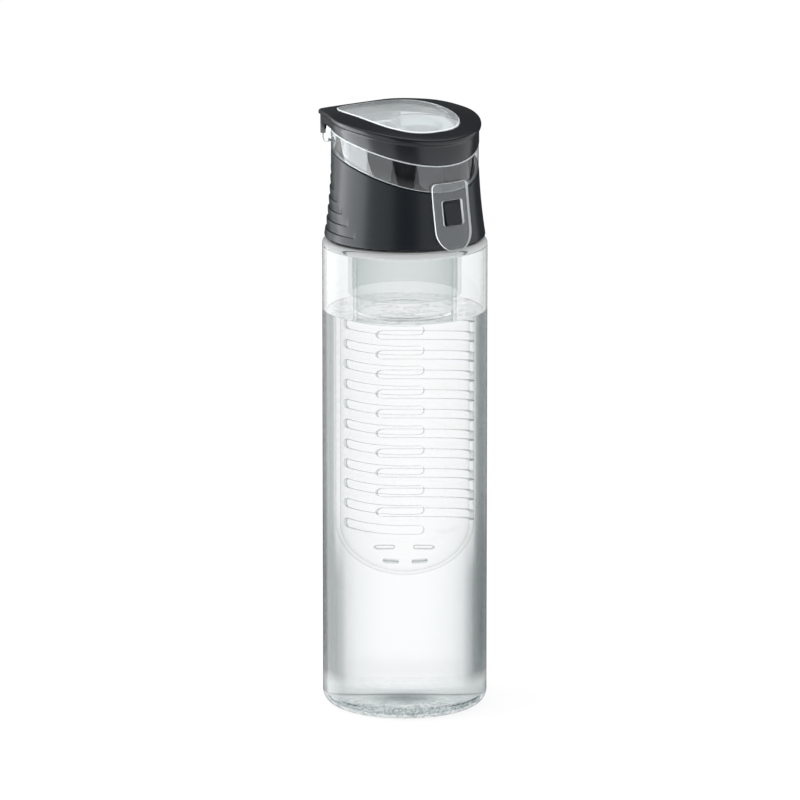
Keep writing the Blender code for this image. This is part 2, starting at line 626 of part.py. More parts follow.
def lid_frame():
    """Black lid rim: overhanging lip, crowned flange round the window, and a deeper wall over the hinge."""
    wall = lid_outline(0)
    lip = lid_outline(LIP_REACH)
    shoulder = lid_outline(LIP_REACH - LIP_EDGE)
    inner = lid_outline(-FRAME_WALL)
    low = np.where(FROM_BACK < BACK_WALL_REACH, RIM_CREST + BACK_WALL_LOW_RISE, frame_lower_edge())
    rings = [ring(wall, lambda y: low),
             ring(wall, lambda y: lid_height(y) - LIP_HEIGHT),
             ring(lip, lambda y: lid_height(y) - LIP_HEIGHT + LIP_EDGE / 2),
             ring(lip, lambda y: lid_height(y) - LIP_EDGE),
             ring(shoulder, lid_height),
             window_ring(-2 * FRAME_WALL, lambda y: window_height(y) - FRAME_CROWN / 8),
             window_ring(0, window_height),
             window_ring(0, lambda y: window_height(y) - FRAME_FLANGE),
             ring(inner, lambda y: lid_height(y) - FRAME_FLANGE),
             ring(inner, lambda y: low)]
    return lofted("lid_frame", rings, BLACK_PLASTIC, closed=True)


def plug_boss():
    """Tube under the window pane that grips the plug; its top runs into the sloping pane."""
    rings = []
    for radius, top in ((BOSS_RADIUS, False), (BOSS_RADIUS, True),
                        (BOSS_RADIUS - BOSS_WALL, True), (BOSS_RADIUS - BOSS_WALL, False)):
        x = radius * np.cos(ANGLES)
        y = radius * np.sin(ANGLES) - SPOUT_OFFSET
        z = window_height(y) - GAP if top else np.full(CAP_SEGMENTS, BOSS_BOTTOM)
        rings.append(list(np.column_stack([x, y, z])))
    return lofted("plug_boss", rings, closed=True)


def lid_body():
    """Clear lid: domed pane, roof under the frame's flange, band down to the shell, boss and hinge lugs."""
    centre_y = (WINDOW_FRONT_Y + WINDOW_BACK_Y) / 2
    pane_top = window_height(centre_y) + PANE_DOME
    drop = FRAME_FLANGE + GAP
    low = frame_lower_edge() - GAP
    edge = lid_outline(-FRAME_WALL - PANE_PLAY)
    under_pane = PANE_PLAY + LID_WALL
    middle_dome = PANE_DOME * (1 - PANE_MID_SHARE ** 2)
    rings = [[(0, centre_y, pane_top)],
             window_ring(0, lambda y: window_height(y) + middle_dome, PANE_MID_SHARE),
             window_ring(PANE_PLAY, window_height),
             window_ring(PANE_PLAY, lambda y: window_height(y) - drop),
             ring(edge, lambda y: lid_height(y) - drop),
             ring(edge, lambda y: lid_height(y) - drop - LID_WALL),
             ring(BAND_STEP_RADIUS, lambda y: lid_height(y) - drop - LID_WALL - GAP / 2),
             ring(BAND_STEP_RADIUS, lambda y: low),
             ring(BAND_RADIUS, lambda y: low),
             ring(BAND_RADIUS, lambda y: rim_height(y) + BAND_LIFT),
             ring(BAND_RADIUS - BAND_WALL, lambda y: rim_height(y) + BAND_LIFT),
             ring(ROOF_INNER_RADIUS, lambda y: lid_height(y) - drop - LID_WALL - GAP),
             window_ring(under_pane, lambda y: window_height(y) - drop - LID_WALL),
             window_ring(under_pane, lambda y: window_height(y) - LID_WALL),
             [(0, centre_y, pane_top - LID_WALL)]]
    lid = lofted("lid_body", rings, CLEAR_PLASTIC)
    combined(lid, plug_boss(), "UNION")
    combined(lid, lid_lug("right_lug", LUG_INNER_X), "UNION")
    combined(lid, lid_lug("left_lug", -LUG_OUTER_X), "UNION")
    return combined(lid, pin_hole(), "DIFFERENCE")


def spout_plug():
    """Silicone plug: flat flange over the spout, nose in its bore and stud in the lid's boss."""
    nose = SPOUT_BORE_RADIUS - PLUG_NOSE_PLAY
    stud = BOSS_RADIUS - BOSS_WALL - GAP
    profile = [(0, PLUG_BOTTOM - PLUG_NOSE_DEPTH), (nose - GAP, PLUG_BOTTOM - PLUG_NOSE_DEPTH),
               (nose, PLUG_BOTTOM - PLUG_NOSE_DEPTH + GAP), (nose, PLUG_BOTTOM), (PLUG_RADIUS, PLUG_BOTTOM),
               (PLUG_RADIUS, PLUG_TOP), (stud, PLUG_TOP), (stud, PLUG_TOP + PLUG_STUD_HEIGHT),
               (0, PLUG_TOP + PLUG_STUD_HEIGHT)]
    return turned("spout_plug", profile, GREY_SILICONE, SMALL_SEGMENTS, centre=SPOUT_CENTRE)


def tab_radius(z):
    """Inner radius of the latch tab, which flares out towards its finger lip."""
    down = np.clip((TAB_TOP - z) / TAB_HEIGHT, 0, 1)
    return TAB_INNER_RADIUS + TAB_FLARE * down ** TAB_FLARE_POWER_SHARE


def latch_tab():
    """Clear latch: a curved plate flaring to a round lip, with a window that hooks under the catch."""
    half = TAB_WIDTH / 2
    bottom = TAB_TOP - TAB_HEIGHT
    columns = np.linspace(-half - OVERRUN, half + OVERRUN, TAB_COLUMNS + 1)
    rows = np.linspace(bottom - OVERRUN, TAB_TOP + OVERRUN, TAB_ROWS + 1)
    rings = []
    for z in rows:
        inner = tab_radius(z)
        outer = inner + TAB_THICKNESS
        front = [(x, -math.sqrt(outer ** 2 - x ** 2), z) for x in columns]
        back = [(x, -math.sqrt(inner ** 2 - x ** 2), z) for x in reversed(columns)]
        rings.append(front + back)
    mesh = bmesh.new()
    loops = [[mesh.verts.new(point) for point in points] for points in rings]
    count = len(loops[0])
    for lower, upper in zip(loops, loops[1:]):
        for step in range(count):
            after = (step + 1) % count
            mesh.faces.new((lower[step], lower[after], upper[after], upper[step]))
    for loop in (loops[0], loops[-1]):
        for step in range(TAB_COLUMNS):
            mesh.faces.new((loop[step], loop[step + 1], loop[count - 2 - step], loop[count - 1 - step]))
    tab = add_object("latch_tab", mesh, CLEAR_PLASTIC)
    depth = Vector((0, -TAB_FLARE - TAB_THICKNESS - 6 * OVERRUN, 0))
    start_y = -math.sqrt(TAB_INNER_RADIUS ** 2 - half ** 2) + 2 * OVERRUN
    outline = arc(0, bottom + half, half, 180, 360, 4 * CORNER_STEPS)
    outline += arc(half - TAB_TOP_CORNER, TAB_TOP - TAB_TOP_CORNER, TAB_TOP_CORNER, 0, 90)
    outline += arc(-half + TAB_TOP_CORNER, TAB_TOP - TAB_TOP_CORNER, TAB_TOP_CORNER, 90, 180)
    shape = extruded("tab_outline", [(x, start_y, z) for x, z in outline], depth)
    combined(tab, shape, "INTERSECT")
    low = CATCH_BOTTOM - GAP
    hole = rounded_outline(TAB_WINDOW_WIDTH, low, low + TAB_WINDOW_HEIGHT, TAB_WINDOW_CORNER)
    window = extruded("tab_window", [(x, start_y, z) for x, z in hole], depth)
    return combined(tab, window, "DIFFERENCE")


def hinge_pin():
    """Steel pin across the lid's lugs and the shell's barrel."""
    outline = arc(HINGE_Y, HINGE_Z, PIN_RADIUS, 0, 360 - 360 / PIN_SIDES, PIN_SIDES - 1)
    end = [(-PIN_LENGTH / 2, y, z) for y, z in outline]
    return extruded("hinge_pin", end, Vector((PIN_LENGTH, 0, 0)), PIN_STEEL)


def axis_marker(name, place, parent=None):
    """Empty on a joint's axis."""
    marker = bpy.data.objects.new(name, None)
    bpy.context.scene.collection.objects.link(marker)
    marker.parent = parent
    marker.location = place
    return marker


def hang(pieces, marker, place):
    """Puts each piece's origin on the marker's axis without moving the piece."""
    for piece in pieces:
        piece.data.transform(Matrix.Translation(-place))
        piece.parent = marker


def finish_shading(pieces):
    """Smooth shading with sharp edges kept."""
    for piece in pieces:
        piece.data.shade_smooth()
        piece.data.set_sharp_from_angle(angle=SHARP_ANGLE)


def build():
    """Makes every piece and hangs the moving ones on their axes."""
    clear_scene()
    body = [bottle_body()]
    cap = [neck_seal(), cap_shell(), cap_insert(), infuser_holder(), hinge_pin()]
    basket = [infuser_basket()]
    lid = [lid_body(), lid_frame(), spout_plug()]
    latch = [latch_tab()]
    cap_axis = axis_marker("cap_axis", Vector((0, 0, 0)))
    hinge_place = Vector((0, HINGE_Y, HINGE_Z))
    latch_place = Vector((0, -TAB_INNER_RADIUS, TAB_PIVOT_Z))
    lid_axis = axis_marker("lid_axis", hinge_place, cap_axis)
    latch_axis = axis_marker("latch_axis", latch_place - hinge_place, lid_axis)
    hang(cap + basket, cap_axis, Vector((0, 0, 0)))
    hang(lid, lid_axis, hinge_place)
    hang(latch, latch_axis, latch_place)
    finish_shading(body + cap + basket + lid + latch)


build()
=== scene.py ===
import math

import bmesh
import bpy
import numpy as np
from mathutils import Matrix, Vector


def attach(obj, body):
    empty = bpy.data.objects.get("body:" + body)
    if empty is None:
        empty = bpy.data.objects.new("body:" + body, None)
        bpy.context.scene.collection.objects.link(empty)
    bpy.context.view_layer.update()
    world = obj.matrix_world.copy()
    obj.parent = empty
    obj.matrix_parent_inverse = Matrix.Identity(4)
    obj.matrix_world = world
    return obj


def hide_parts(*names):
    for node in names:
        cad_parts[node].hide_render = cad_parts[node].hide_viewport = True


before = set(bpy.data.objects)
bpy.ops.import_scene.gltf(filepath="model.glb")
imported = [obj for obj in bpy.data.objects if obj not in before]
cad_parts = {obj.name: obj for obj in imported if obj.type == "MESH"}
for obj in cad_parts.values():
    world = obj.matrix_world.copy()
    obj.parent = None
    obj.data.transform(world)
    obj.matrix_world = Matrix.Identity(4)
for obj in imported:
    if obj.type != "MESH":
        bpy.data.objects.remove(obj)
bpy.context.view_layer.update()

MM = 0.001
TURN = 2 * np.pi

# Sizes of the real pieces in millimetres, heights over the ground
BODY_RADIUS = 35.0
BODY_WALL = 1.7
INNER_RADIUS = BODY_RADIUS - BODY_WALL
BASE_CORNER = 5.9
INNER_CORNER = 3.0
STANDING_RING = 27.0
PUSH_UP_HEIGHT = 3.5
PUSH_UP_RADIUS = 26.5
SHOULDER_TOP = 203.0
SHOULDER_CORNER = 2.5
NECK_RADIUS = 27.5
NECK_BORE = 25.2
NECK_TOP = 217.0
NECK_THREAD_BOTTOM = 206.6
NECK_THREAD_LEAD = 5.0
WATER_LAP = 0.08
WATER_LEVEL = 172.0
SHELL_BOTTOM = 204.0
SHELL_HEIGHT = 38.0
SHELL_TOP_RADIUS = 31.2
SHELL_FLARE = 3.0
SHELL_WALL = 1.8
RIM_CREST = SHELL_BOTTOM + SHELL_HEIGHT
RIM_FALL = 14.9
RIB_COUNT = 7
RIB_FIRST = 3.3
RIB_PITCH = 4.45
LOW_RIB_REACH = math.radians(104)
HIGH_RIB_REACH = math.radians(56)
HOLDER_RADIUS = 24.0
HOLDER_BORE = 22.4
HOLDER_BOTTOM = 179.4
HOLDER_TOP = 218.8
BASKET_RADIUS = 21.9
BASKET_WALL = 1.5
BASKET_BOTTOM = 56.1
BASKET_TOP = 196.0
BASKET_THREAD_PITCH = 4.2
BASKET_THREAD_RISE = 0.3
BASKET_THREAD_WIDTH = 0.9
BASKET_THREAD_BOTTOM = 177.5
BASKET_THREAD_TOP = 193.0
BASKET_THREAD_FADE = 2.0
SLOT_ROWS = 11
SLOT_LOWEST = 79.4
SLOT_PITCH = 8.66
SLOT_HEIGHT = 3.8
SLOT_CORNER = 1.8
SLOT_START = math.radians(-202.5)
SLOT_REACH = math.radians(95.9)
DOME_SLOT_MIDDLE = math.radians(-144)
DOME_SLOT_REACH = math.radians(19.9)
DOME_SLOT_STEP = math.radians(36)
DOME_SLOT_HEIGHT = 2.0
SPOUT_Y = -9.5
SPOUT_RADIUS = 10.5
SPOUT_BORE = 7.75
SPOUT_TOP = 245.5
DECK_BOTTOM = 219.1
DECK_TOP = 221.1
HINGE_Y = 33.9
HINGE_Z = 242.8
KNUCKLE_RADIUS = 2.4
PIN_RADIUS = 1.2
LUG_INNER_X = 12.4
LUG_OUTER_X = 16.8
LID_RADIUS = 31.4
LID_BACK_Y = 36.9
LID_BACK_HALF_WIDTH = 18.6
LID_STEP = 2.1
WINDOW_HALF_X = 21.5
WINDOW_HALF_Y = 28.75
WINDOW_Y = 4.75
WINDOW_POWER = 2.6
ROOF_CREST = RIM_CREST + 13.8
ROOF_CREST_Y = 12.0
ROOF_FALL = 5.7
WINDOW_CREST = RIM_CREST + 14.8
WINDOW_FALL = 6.7
FRAME_BOTTOM_CREST = RIM_CREST + 8.4
FRAME_BOTTOM_CREST_Y = 20.0
FRAME_BOTTOM_FALL = 11.1
PANE_RISE = 0.87
PANE_WALL = 1.6
BAND_RADIUS = 31.2
TAB_TOP = 231.9
TAB_HEIGHT = 29.4
TAB_HALF_WIDTH = 9.2
TAB_CORNER = 2.4
TAB_WALL = 1.8
TAB_EASE = 0.28
CATCH_BOTTOM = TAB_TOP - 18.6
CATCH_TOP = TAB_TOP - 8.6


# Materials

def linear(hex_colour):
    """Linear RGBA of an sRGB hex colour."""
    parts = [int(hex_colour[i:i + 2], 16) / 255 for i in (1, 3, 5)]
    curve = [p / 12.92 if p <= 0.04045 else ((p + 0.055) / 1.055) ** 2.4 for p in parts]
    return (*curve, 1.0)


def add(tree, kind, inputs=None, stops=(), **settings):
    """Adds a shader node: settings are its own properties, and inputs holds, by name or number, a value,
    another node's output, or a node whose first output in use is taken. A colour ramp's stops are
    (place, hex colour), from 0 to 1."""
    made = tree.nodes.new("ShaderNode" + kind)
    for name, value in settings.items():
        setattr(made, name, value)
    for name, value in (inputs or {}).items():
        if isinstance(value, bpy.types.Node):
            value = next(output for output in value.outputs if output.enabled)
        if isinstance(value, bpy.types.NodeSocket):
            tree.links.new(value, made.inputs[name])
        else:
            made.inputs[name].default_value = value
    for place, _ in stops[1:-1]:
        made.color_ramp.elements.new(place)
    for number, (_, colour) in enumerate(stops):
        made.color_ramp.elements[number].color = linear(colour)
    return made


def new_material(name):
    """Material without nodes, and its tree."""
    made = bpy.data.materials.new(name)
    made.use_nodes = True
    made.node_tree.nodes.clear()
    return made, made.node_tree


def finished(made, shader):
    """Ends a material with its output."""
    add(made.node_tree, "OutputMaterial", {"Surface": shader})
    return made


def moulded_grain(tree, size, height, detail=3.0):
    """Bump of a noise whose grains are about size millimetres wide and height high, and the noise itself."""
    place = add(tree, "TexCoord").outputs["Object"]
    noise = add(tree, "TexNoise",
                {"Vector": place, "Scale": 1 / (size * MM), "Detail": detail, "Roughness": 0.55})
    return add(tree, "Bump", {"Height": noise, "Strength": 1.0, "Distance": height * MM}), noise


def blown_wall():
    """Blow-moulded copolyester: clear and refracting, with slow waves 14 millimetres wide in its skin, and
    a painted grey shade where the eye looks along the wall."""
    made, tree = new_material("clear copolyester, blow moulded")
    facing = add(tree, "LayerWeight").outputs["Facing"]
    tint = add(tree, "ValToRGB", {"Fac": facing}, [
        (0.0, "#fdfefe"), (0.7, "#f6f8f8"), (0.88, "#dfe3e3"), (1.0, "#a9afb0")])
    normal, _ = moulded_grain(tree, 14.0, 0.004, 1.0)
    return finished(made, add(tree, "BsdfPrincipled", {"Base Color": tint, "Roughness": 0.0, "IOR": 1.54,
                                                       "Transmission Weight": 1.0, "Normal": normal}))


def thin_clear(name, edge_stops, shine=0.0):
    """Thin clear moulded wall: too thin to bend what lies behind, and painted grey where the eye looks along
    it, in place of what the wall would bend and reflect there.
    It may reflect shine + (0.9 - shine) f^5, f being 0 face on and 1 at grazing sight."""
    made, tree = new_material(name)
    facing = add(tree, "LayerWeight").outputs["Facing"]
    clear = add(tree, "BsdfTransparent", {"Color": add(tree, "ValToRGB", {"Fac": facing}, edge_stops)})
    if not shine:
        return finished(made, clear)
    steep = add(tree, "Math", {0: facing, 1: 5.0}, operation="POWER")
    share = add(tree, "MapRange", {"Value": steep, "To Min": shine, "To Max": 0.9})
    normal, _ = moulded_grain(tree, 12.0, 0.004, 1.0)
    gloss = add(tree, "BsdfGlossy", {"Color": (1, 1, 1, 1), "Roughness": 0.03, "Normal": normal})
    return finished(made, add(tree, "MixShader", {0: share, 1: clear, 2: gloss}))


def grained(name, colour, size, height, smooth, rough, others):
    """Skin of one colour whose grain is size millimetres wide and height high; its roughness goes with the
    grain from smooth to rough, which breaks up the gloss. The others are further shader inputs."""
    made, tree = new_material(name)
    normal, grain = moulded_grain(tree, size, height)
    tone = add(tree, "MapRange", {"Value": grain, "To Min": smooth, "To Max": rough})
    return finished(made, add(tree, "BsdfPrincipled",
                              {"Base Color": linear(colour), "Roughness": tone, "Normal": normal, **others}))


def frosted_plastic():
    """Frosted polypropylene: part of the light goes straight through and part glows white in its skin,
    more of it where the eye looks along the wall."""
    made, tree = new_material("frosted polypropylene")
    facing = add(tree, "LayerWeight").outputs["Facing"]
    normal, _ = moulded_grain(tree, 0.8, 0.01)
    share = add(tree, "MapRange", {"Value": facing, "To Min": 0.06, "To Max": 0.16})
    clear = add(tree, "BsdfTransparent", {"Color": linear("#fdfefe")})
    glow = add(tree, "BsdfTranslucent", {"Color": linear("#fbfcfc"), "Normal": normal})
    skin = add(tree, "BsdfPrincipled",
               {"Base Color": linear("#f4f6f6"), "Roughness": 0.35, "IOR": 1.49, "Normal": normal})
    white = add(tree, "MixShader", {0: 0.5, 1: glow, 2: skin})
    return finished(made, add(tree, "MixShader", {0: share, 1: clear, 2: white}))


def rippled_clear(name, centre_colour, outer_colour, ripple_colour, ripple_size, edge_colour, shine):
    """Thick clear moulding or water skin, drawn without bending the light: a painted shade makes it greyer
    toward the axis and at its edge, and ripples whose darker lines are about a third of ripple_size
    millimetres wide gather on the side of the base toward the camera."""
    made, tree = new_material(name)
    place = add(tree, "TexCoord").outputs["Object"]
    flat = add(tree, "VectorMath", {0: place, 1: (1.0, 1.0, 0.0)}, operation="MULTIPLY")
    away = add(tree, "VectorMath", {0: flat}, operation="LENGTH")
    share = add(tree, "Math", {0: away, 1: BODY_RADIUS * MM}, operation="DIVIDE")
    tone = add(tree, "ValToRGB", {"Fac": share}, [
        (0.0, centre_colour), (0.1, centre_colour), (0.36, outer_colour), (1.0, outer_colour)])
    noise = add(tree, "TexNoise", {"Vector": place, "Scale": 1 / (ripple_size * MM), "Detail": 2.0,
                                   "Roughness": 0.55, "Distortion": 1.2})
    ripple_lines = add(tree, "ValToRGB", {"Fac": noise}, [
        (0.0, "#ffffff"), (0.42, "#ffffff"), (0.5, ripple_colour), (0.54, "#ffffff"), (0.64, "#f1f3f3"),
        (1.0, "#e2e5e5")])
    side = add(tree, "VectorMath", {0: place, 1: (-0.596, -0.803, 0.0)}, operation="DOT_PRODUCT")
    gather = add(tree, "MapRange", {"Value": side, "From Min": -10 * MM, "From Max": 8 * MM,
                                    "To Min": 0.12, "To Max": 1.0})
    drawn = add(tree, "Mix", {"Factor": gather, "A": (1, 1, 1, 1), "B": ripple_lines}, data_type="RGBA")
    rippled = add(tree, "VectorMath", {0: tone, 1: drawn}, operation="MULTIPLY")
    facing = add(tree, "LayerWeight").outputs["Facing"]
    edge = add(tree, "ValToRGB", {"Fac": facing}, [(0.0, "#ffffff"), (0.85, "#fbfcfc"), (1.0, edge_colour)])
    tint = add(tree, "VectorMath", {0: rippled, 1: edge}, operation="MULTIPLY")
    clear = add(tree, "BsdfTransparent", {"Color": tint})
    bump = add(tree, "Bump", {"Height": noise, "Strength": 1.0, "Distance": 0.03 * ripple_size * MM})
    gloss = add(tree, "BsdfGlossy", {"Color": (1, 1, 1, 1), "Roughness": 0.05, "Normal": bump})
    return finished(made, add(tree, "MixShader", {0: shine, 1: clear, 2: gloss}))


def open_water():
    """Open water surface: clear from above, and a mirror for the bright wall behind at low angles, with
    faint ripples about 8 millimetres wide."""
    made, tree = new_material("drinking water, open surface")
    facing = add(tree, "LayerWeight").outputs["Facing"]
    normal, ripple = moulded_grain(tree, 8.0, 0.12, 2.0)
    share = add(tree, "MapRange", {"Value": facing, "From Min": 0.35, "From Max": 0.72, "To Min": 0.05,
                                   "To Max": 0.9}, interpolation_type="SMOOTHSTEP")
    tone = add(tree, "ValToRGB", {"Fac": ripple}, [
        (0.0, "#eceeee"), (0.44, "#fafbfb"), (0.5, "#e6e9e9"), (0.56, "#fdfdfd"), (1.0, "#ffffff")])
    clear = add(tree, "BsdfTransparent", {"Color": linear("#fdfefe")})
    gloss = add(tree, "BsdfGlossy", {"Color": tone, "Roughness": 0.03, "Normal": normal})
    return finished(made, add(tree, "MixShader", {0: share, 1: clear, 2: gloss}))


def water_at_wall():
    """Drinking water against the wall: refracts, and carries painted dark bands near the sides, a painted
    shade a little further in below 55 to 95 millimetres over the ground; the painted bands fade out between
    18 and 8 millimetres, where the base sends light up."""
    made, tree = new_material("drinking water against the wall")
    facing = add(tree, "LayerWeight").outputs["Facing"]
    low = add(tree, "ValToRGB", {"Fac": facing}, [
        (0.0, "#ffffff"), (0.03, "#fdfdfd"), (0.09, "#f0f1f1"), (0.13, "#d5d8d8"), (0.154, "#a6aaaa"),
        (0.162, "#999e9e"), (0.17, "#8d9292"), (0.178, "#797f7f"), (0.186, "#696f70"), (0.21, "#565c5d"),
        (0.237, "#52585a"), (0.252, "#878c8c"), (0.266, "#bbbebe"), (0.3, "#e9ebeb"), (1.0, "#f4f5f5")])
    high = add(tree, "ValToRGB", {"Fac": facing}, [
        (0.0, "#ffffff"), (0.1, "#fdfdfd"), (0.166, "#fdfdfd"), (0.178, "#f1f2f2"), (0.188, "#b9bdbd"),
        (0.196, "#7f8585"), (0.203, "#757b7b"), (0.21, "#616768"), (0.237, "#616768"), (0.252, "#959a9a"),
        (0.266, "#c2c5c5"), (0.3, "#e9ebeb"), (1.0, "#f4f5f5")])
    place = add(tree, "TexCoord").outputs["Object"]
    height = add(tree, "SeparateXYZ", {"Vector": place}).outputs["Z"]
    fade = add(tree, "MapRange", {"Value": height, "From Min": 8 * MM, "From Max": 18 * MM, "To Min": 0.25,
                                  "To Max": 1.0}, interpolation_type="SMOOTHSTEP")
    upper = add(tree, "MapRange", {"Value": height, "From Min": 55 * MM, "From Max": 95 * MM},
                interpolation_type="SMOOTHSTEP")
    bands = add(tree, "Mix", {"Factor": upper, "A": low, "B": high}, data_type="RGBA")
    tint = add(tree, "Mix", {"Factor": fade, "A": (1, 1, 1, 1), "B": bands}, data_type="RGBA")
    return finished(made, add(tree, "BsdfPrincipled", {"Base Color": tint, "Roughness": 0.0, "IOR": 1.333,
                                                       "Transmission Weight": 1.0}))


def pane_with_painted_sheen():
    """Polished lid pane: clear, with a pale painted sheen: a white skin mixed in stands in for the ceiling's
    light reflected over the dark inside.
    """
    made, tree = new_material("clear copolyester, lid pane")
    facing = add(tree, "LayerWeight").outputs["Facing"]
    normal, grain = moulded_grain(tree, 16.0, 0.01, 2.0)
    share = add(tree, "MapRange", {"Value": grain, "To Min": 0.29, "To Max": 0.41})
    tint = add(tree, "ValToRGB", {"Fac": facing}, [(0.0, "#fafbfb"), (0.8, "#f4f6f6"), (1.0, "#b9bebf")])
    clear = add(tree, "BsdfTransparent", {"Color": tint})
    sheen = add(tree, "BsdfPrincipled",
                {"Base Color": linear("#e2e5e5"), "Roughness": 0.12, "IOR": 1.54, "Normal": normal})
    return finished(made, add(tree, "MixShader", {0: share, 1: clear, 2: sheen}))


def lit_shoulder():
    """Thick corner of the clear wall: a pale painted glow stands in for the light led up the wall, crossed by
    a thin painted dark line at one angle of sight.
    """
    made, tree = new_material("clear copolyester, shoulder")
    facing = add(tree, "LayerWeight").outputs["Facing"]
    tone = add(tree, "ValToRGB", {"Fac": facing}, [
        (0.0, "#e9ebeb"), (0.27, "#eff1f1"), (0.31, "#6a7071"), (0.35, "#f4f6f6"), (0.8, "#fafbfb"),
        (1.0, "#c4c8c8")])
    glow = add(tree, "BsdfTranslucent", {"Color": tone})
    skin = add(tree, "BsdfPrincipled", {"Base Color": tone, "Roughness": 0.15, "IOR": 1.4})
    return finished(made, add(tree, "MixShader", {0: 0.6, 1: glow, 2: skin}))


BOTTLE_CLEAR = blown_wall()
# Thin walls and skins of the same clear plastic: only their edges and grazing parts show, in painted grey
# shade
NECK_CLEAR = thin_clear("clear copolyester, neck", [(0.0, "#fcfdfd"), (0.8, "#f4f6f6"), (1.0, "#c9cece")],
                        0.02)
INNER_SKIN = thin_clear("clear copolyester, inner skin", [(0.0, "#ffffff"), (1.0, "#f1f3f3")])
BASKET_DRY = thin_clear("clear copolyester, injection moulded",
                        [(0.0, "#ffffff"), (0.7, "#fafbfb"), (0.9, "#eff1f1"), (1.0, "#c9cece")])
BASKET_WET = thin_clear("clear copolyester under water",
                        [(0.0, "#ffffff"), (0.6, "#fefefe"), (0.8, "#fafafa"), (0.92, "#eff0f0"),
                         (1.0, "#e2e4e4")])
SLOT_EDGE = thin_clear("clear copolyester, slot edge", [(0.0, "#eaecec"), (1.0, "#c2c6c6")])
LID_CLEAR = thin_clear("clear copolyester, polished",
                       [(0.0, "#f8fafa"), (0.7, "#eef0f0"), (1.0, "#a4aaab")], 0.06)
LUG_CLEAR = thin_clear("clear copolyester, hinge lug",
                       [(0.0, "#d6dada"), (0.3, "#b4babb"), (0.7, "#c9cdcd"), (1.0, "#5c6366")], 0.15)
LATCH_CLEAR = thin_clear("clear copolyester, thick latch",
                         [(0.0, "#f6f8f8"), (0.7, "#eef0f0"), (1.0, "#b9bebf")], 0.06)
PANE_CLEAR = pane_with_painted_sheen()
SHOULDER_CLEAR = lit_shoulder()
BOTTLE_BASE = rippled_clear("clear copolyester, thick base", "#b9bdbf", "#fbfcfc", "#cdd1d1", 6.5,
                            "#7b8183", 0.05)
WATER = water_at_wall()
WATER_SURFACE = open_water()
WATER_FLOOR = rippled_clear("drinking water over the base", "#dfe2e3", "#fdfefe", "#f6f8f8", 9.0,
                            "#fdfefe", 0.0)
# Where the water climbs the strainer it bends the light away; a painted dark line on the rim of its surface
# stands in for that
MENISCUS = thin_clear("drinking water, edge at the strainer",
                      [(0.0, "#454b4d"), (0.12, "#7b8183"), (0.3, "#d8dbdb"), (0.5, "#ffffff"),
                       (1.0, "#ffffff")])
HOLDER_FROSTED = frosted_plastic()
# Rims of clear mouldings: in place of the light that the wall would lead out here, they get painted colours,
# a pale painted highlight on rims and the shoulder's top and a grey painted shade on the band's rims, with a
# smooth skin
RIM_INPUTS = {"IOR": 1.54, "Transmission Weight": 0.1}
LIT_EDGE = grained("clear copolyester, rim with painted highlight", "#eef1f1", 0.6, 0.01, 0.12, 0.2, RIM_INPUTS)
BAND_EDGE = grained("clear copolyester, moulded rim", "#a9aeaf", 0.6, 0.01, 0.12, 0.2, RIM_INPUTS)
SHOULDER_LIT = grained("clear copolyester, top of the shoulder", "#e2e5e5", 0.6, 0.01, 0.12, 0.2, RIM_INPUTS)
# Black mouldings: the fine texture of the mould gives the shell and frame a soft gloss and dulls the insert
SHELL_BLACK = grained("black ABS, satin moulded", "#13171b", 0.35, 0.003, 0.25, 0.32,
                      {"IOR": 1.5, "Specular IOR Level": 0.25})
FRAME_BLACK = grained("black ABS, semi-gloss moulded", "#15181b", 0.35, 0.002, 0.21, 0.28,
                      {"IOR": 1.5, "Specular IOR Level": 0.4})
INSERT_BLACK = grained("black polypropylene, fine matte", "#14171a", 0.6, 0.002, 0.47, 0.54,
                       {"IOR": 1.5, "Specular IOR Level": 0.25})
# Moulded silicone: a soft dull skin that lets some light through
PLUG_SILICONE = grained("milky silicone rubber", "#d9dbdb", 0.5, 0.01, 0.36, 0.5,
                        {"IOR": 1.41, "Transmission Weight": 0.35})
SEAL_SILICONE = grained("grey silicone rubber", "#8d9091", 0.5, 0.01, 0.36, 0.5,
                        {"IOR": 1.41, "Transmission Weight": 0.1})
# Ground steel: a bright metal whose fine scratches blur what it mirrors
STEEL = grained("ground stainless steel", "#c9c8c4", 0.3, 0.004, 0.2, 0.32, {"Metallic": 1.0})


# Meshes

def finish_piece(name, points, quads, body, slot, materials, replaces=(), sharp=38.0, faces_out=True,
                 choice=None):
    """Object from rows of points in millimetres and rows of corner numbers; seams and poles are merged.
    The choice gives each quad its number in the list of materials."""
    mesh = bpy.data.meshes.new(name)
    mesh.from_pydata((points * MM).tolist(), [], quads.tolist())
    if choice is not None:
        mesh.polygons.foreach_set("material_index", np.asarray(choice, np.int32))
    form = bmesh.new()
    form.from_mesh(mesh)
    bmesh.ops.remove_doubles(form, verts=form.verts, dist=2e-7)
    bmesh.ops.dissolve_degenerate(form, edges=form.edges, dist=1e-8)
    if faces_out:
        bmesh.ops.recalc_face_normals(form, faces=form.faces)
    form.to_mesh(mesh)
    form.free()
    for material in materials:
        mesh.materials.append(material)
    mesh.shade_smooth()
    mesh.set_sharp_from_angle(angle=math.radians(sharp))
    piece = bpy.data.objects.new(name, mesh)
    bpy.context.scene.collection.objects.link(piece)
    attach(piece, body)
    if replaces:
        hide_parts(*replaces)
    return piece


def grid_points(x, y, z):
    """Rows of points from three arrays that fit one grid."""
    return np.stack(np.broadcast_arrays(x, y, z), -1).reshape(-1, 3)


def grid_quads(rows, columns, around=True, closed=False):
    """Corner numbers of the quads between neighbours of a grid, whose columns or rows may join up."""
    row = np.arange(rows if closed else rows - 1)[:, None]
    column = np.arange(columns if around else columns - 1)[None, :]
    below, above = row * columns, ((row + 1) % rows) * columns
    after = (column + 1) % columns
    corners = [below + column, below + after, above + after, above + column]
    return np.stack(np.broadcast_arrays(*corners), -1).reshape(-1, 4)


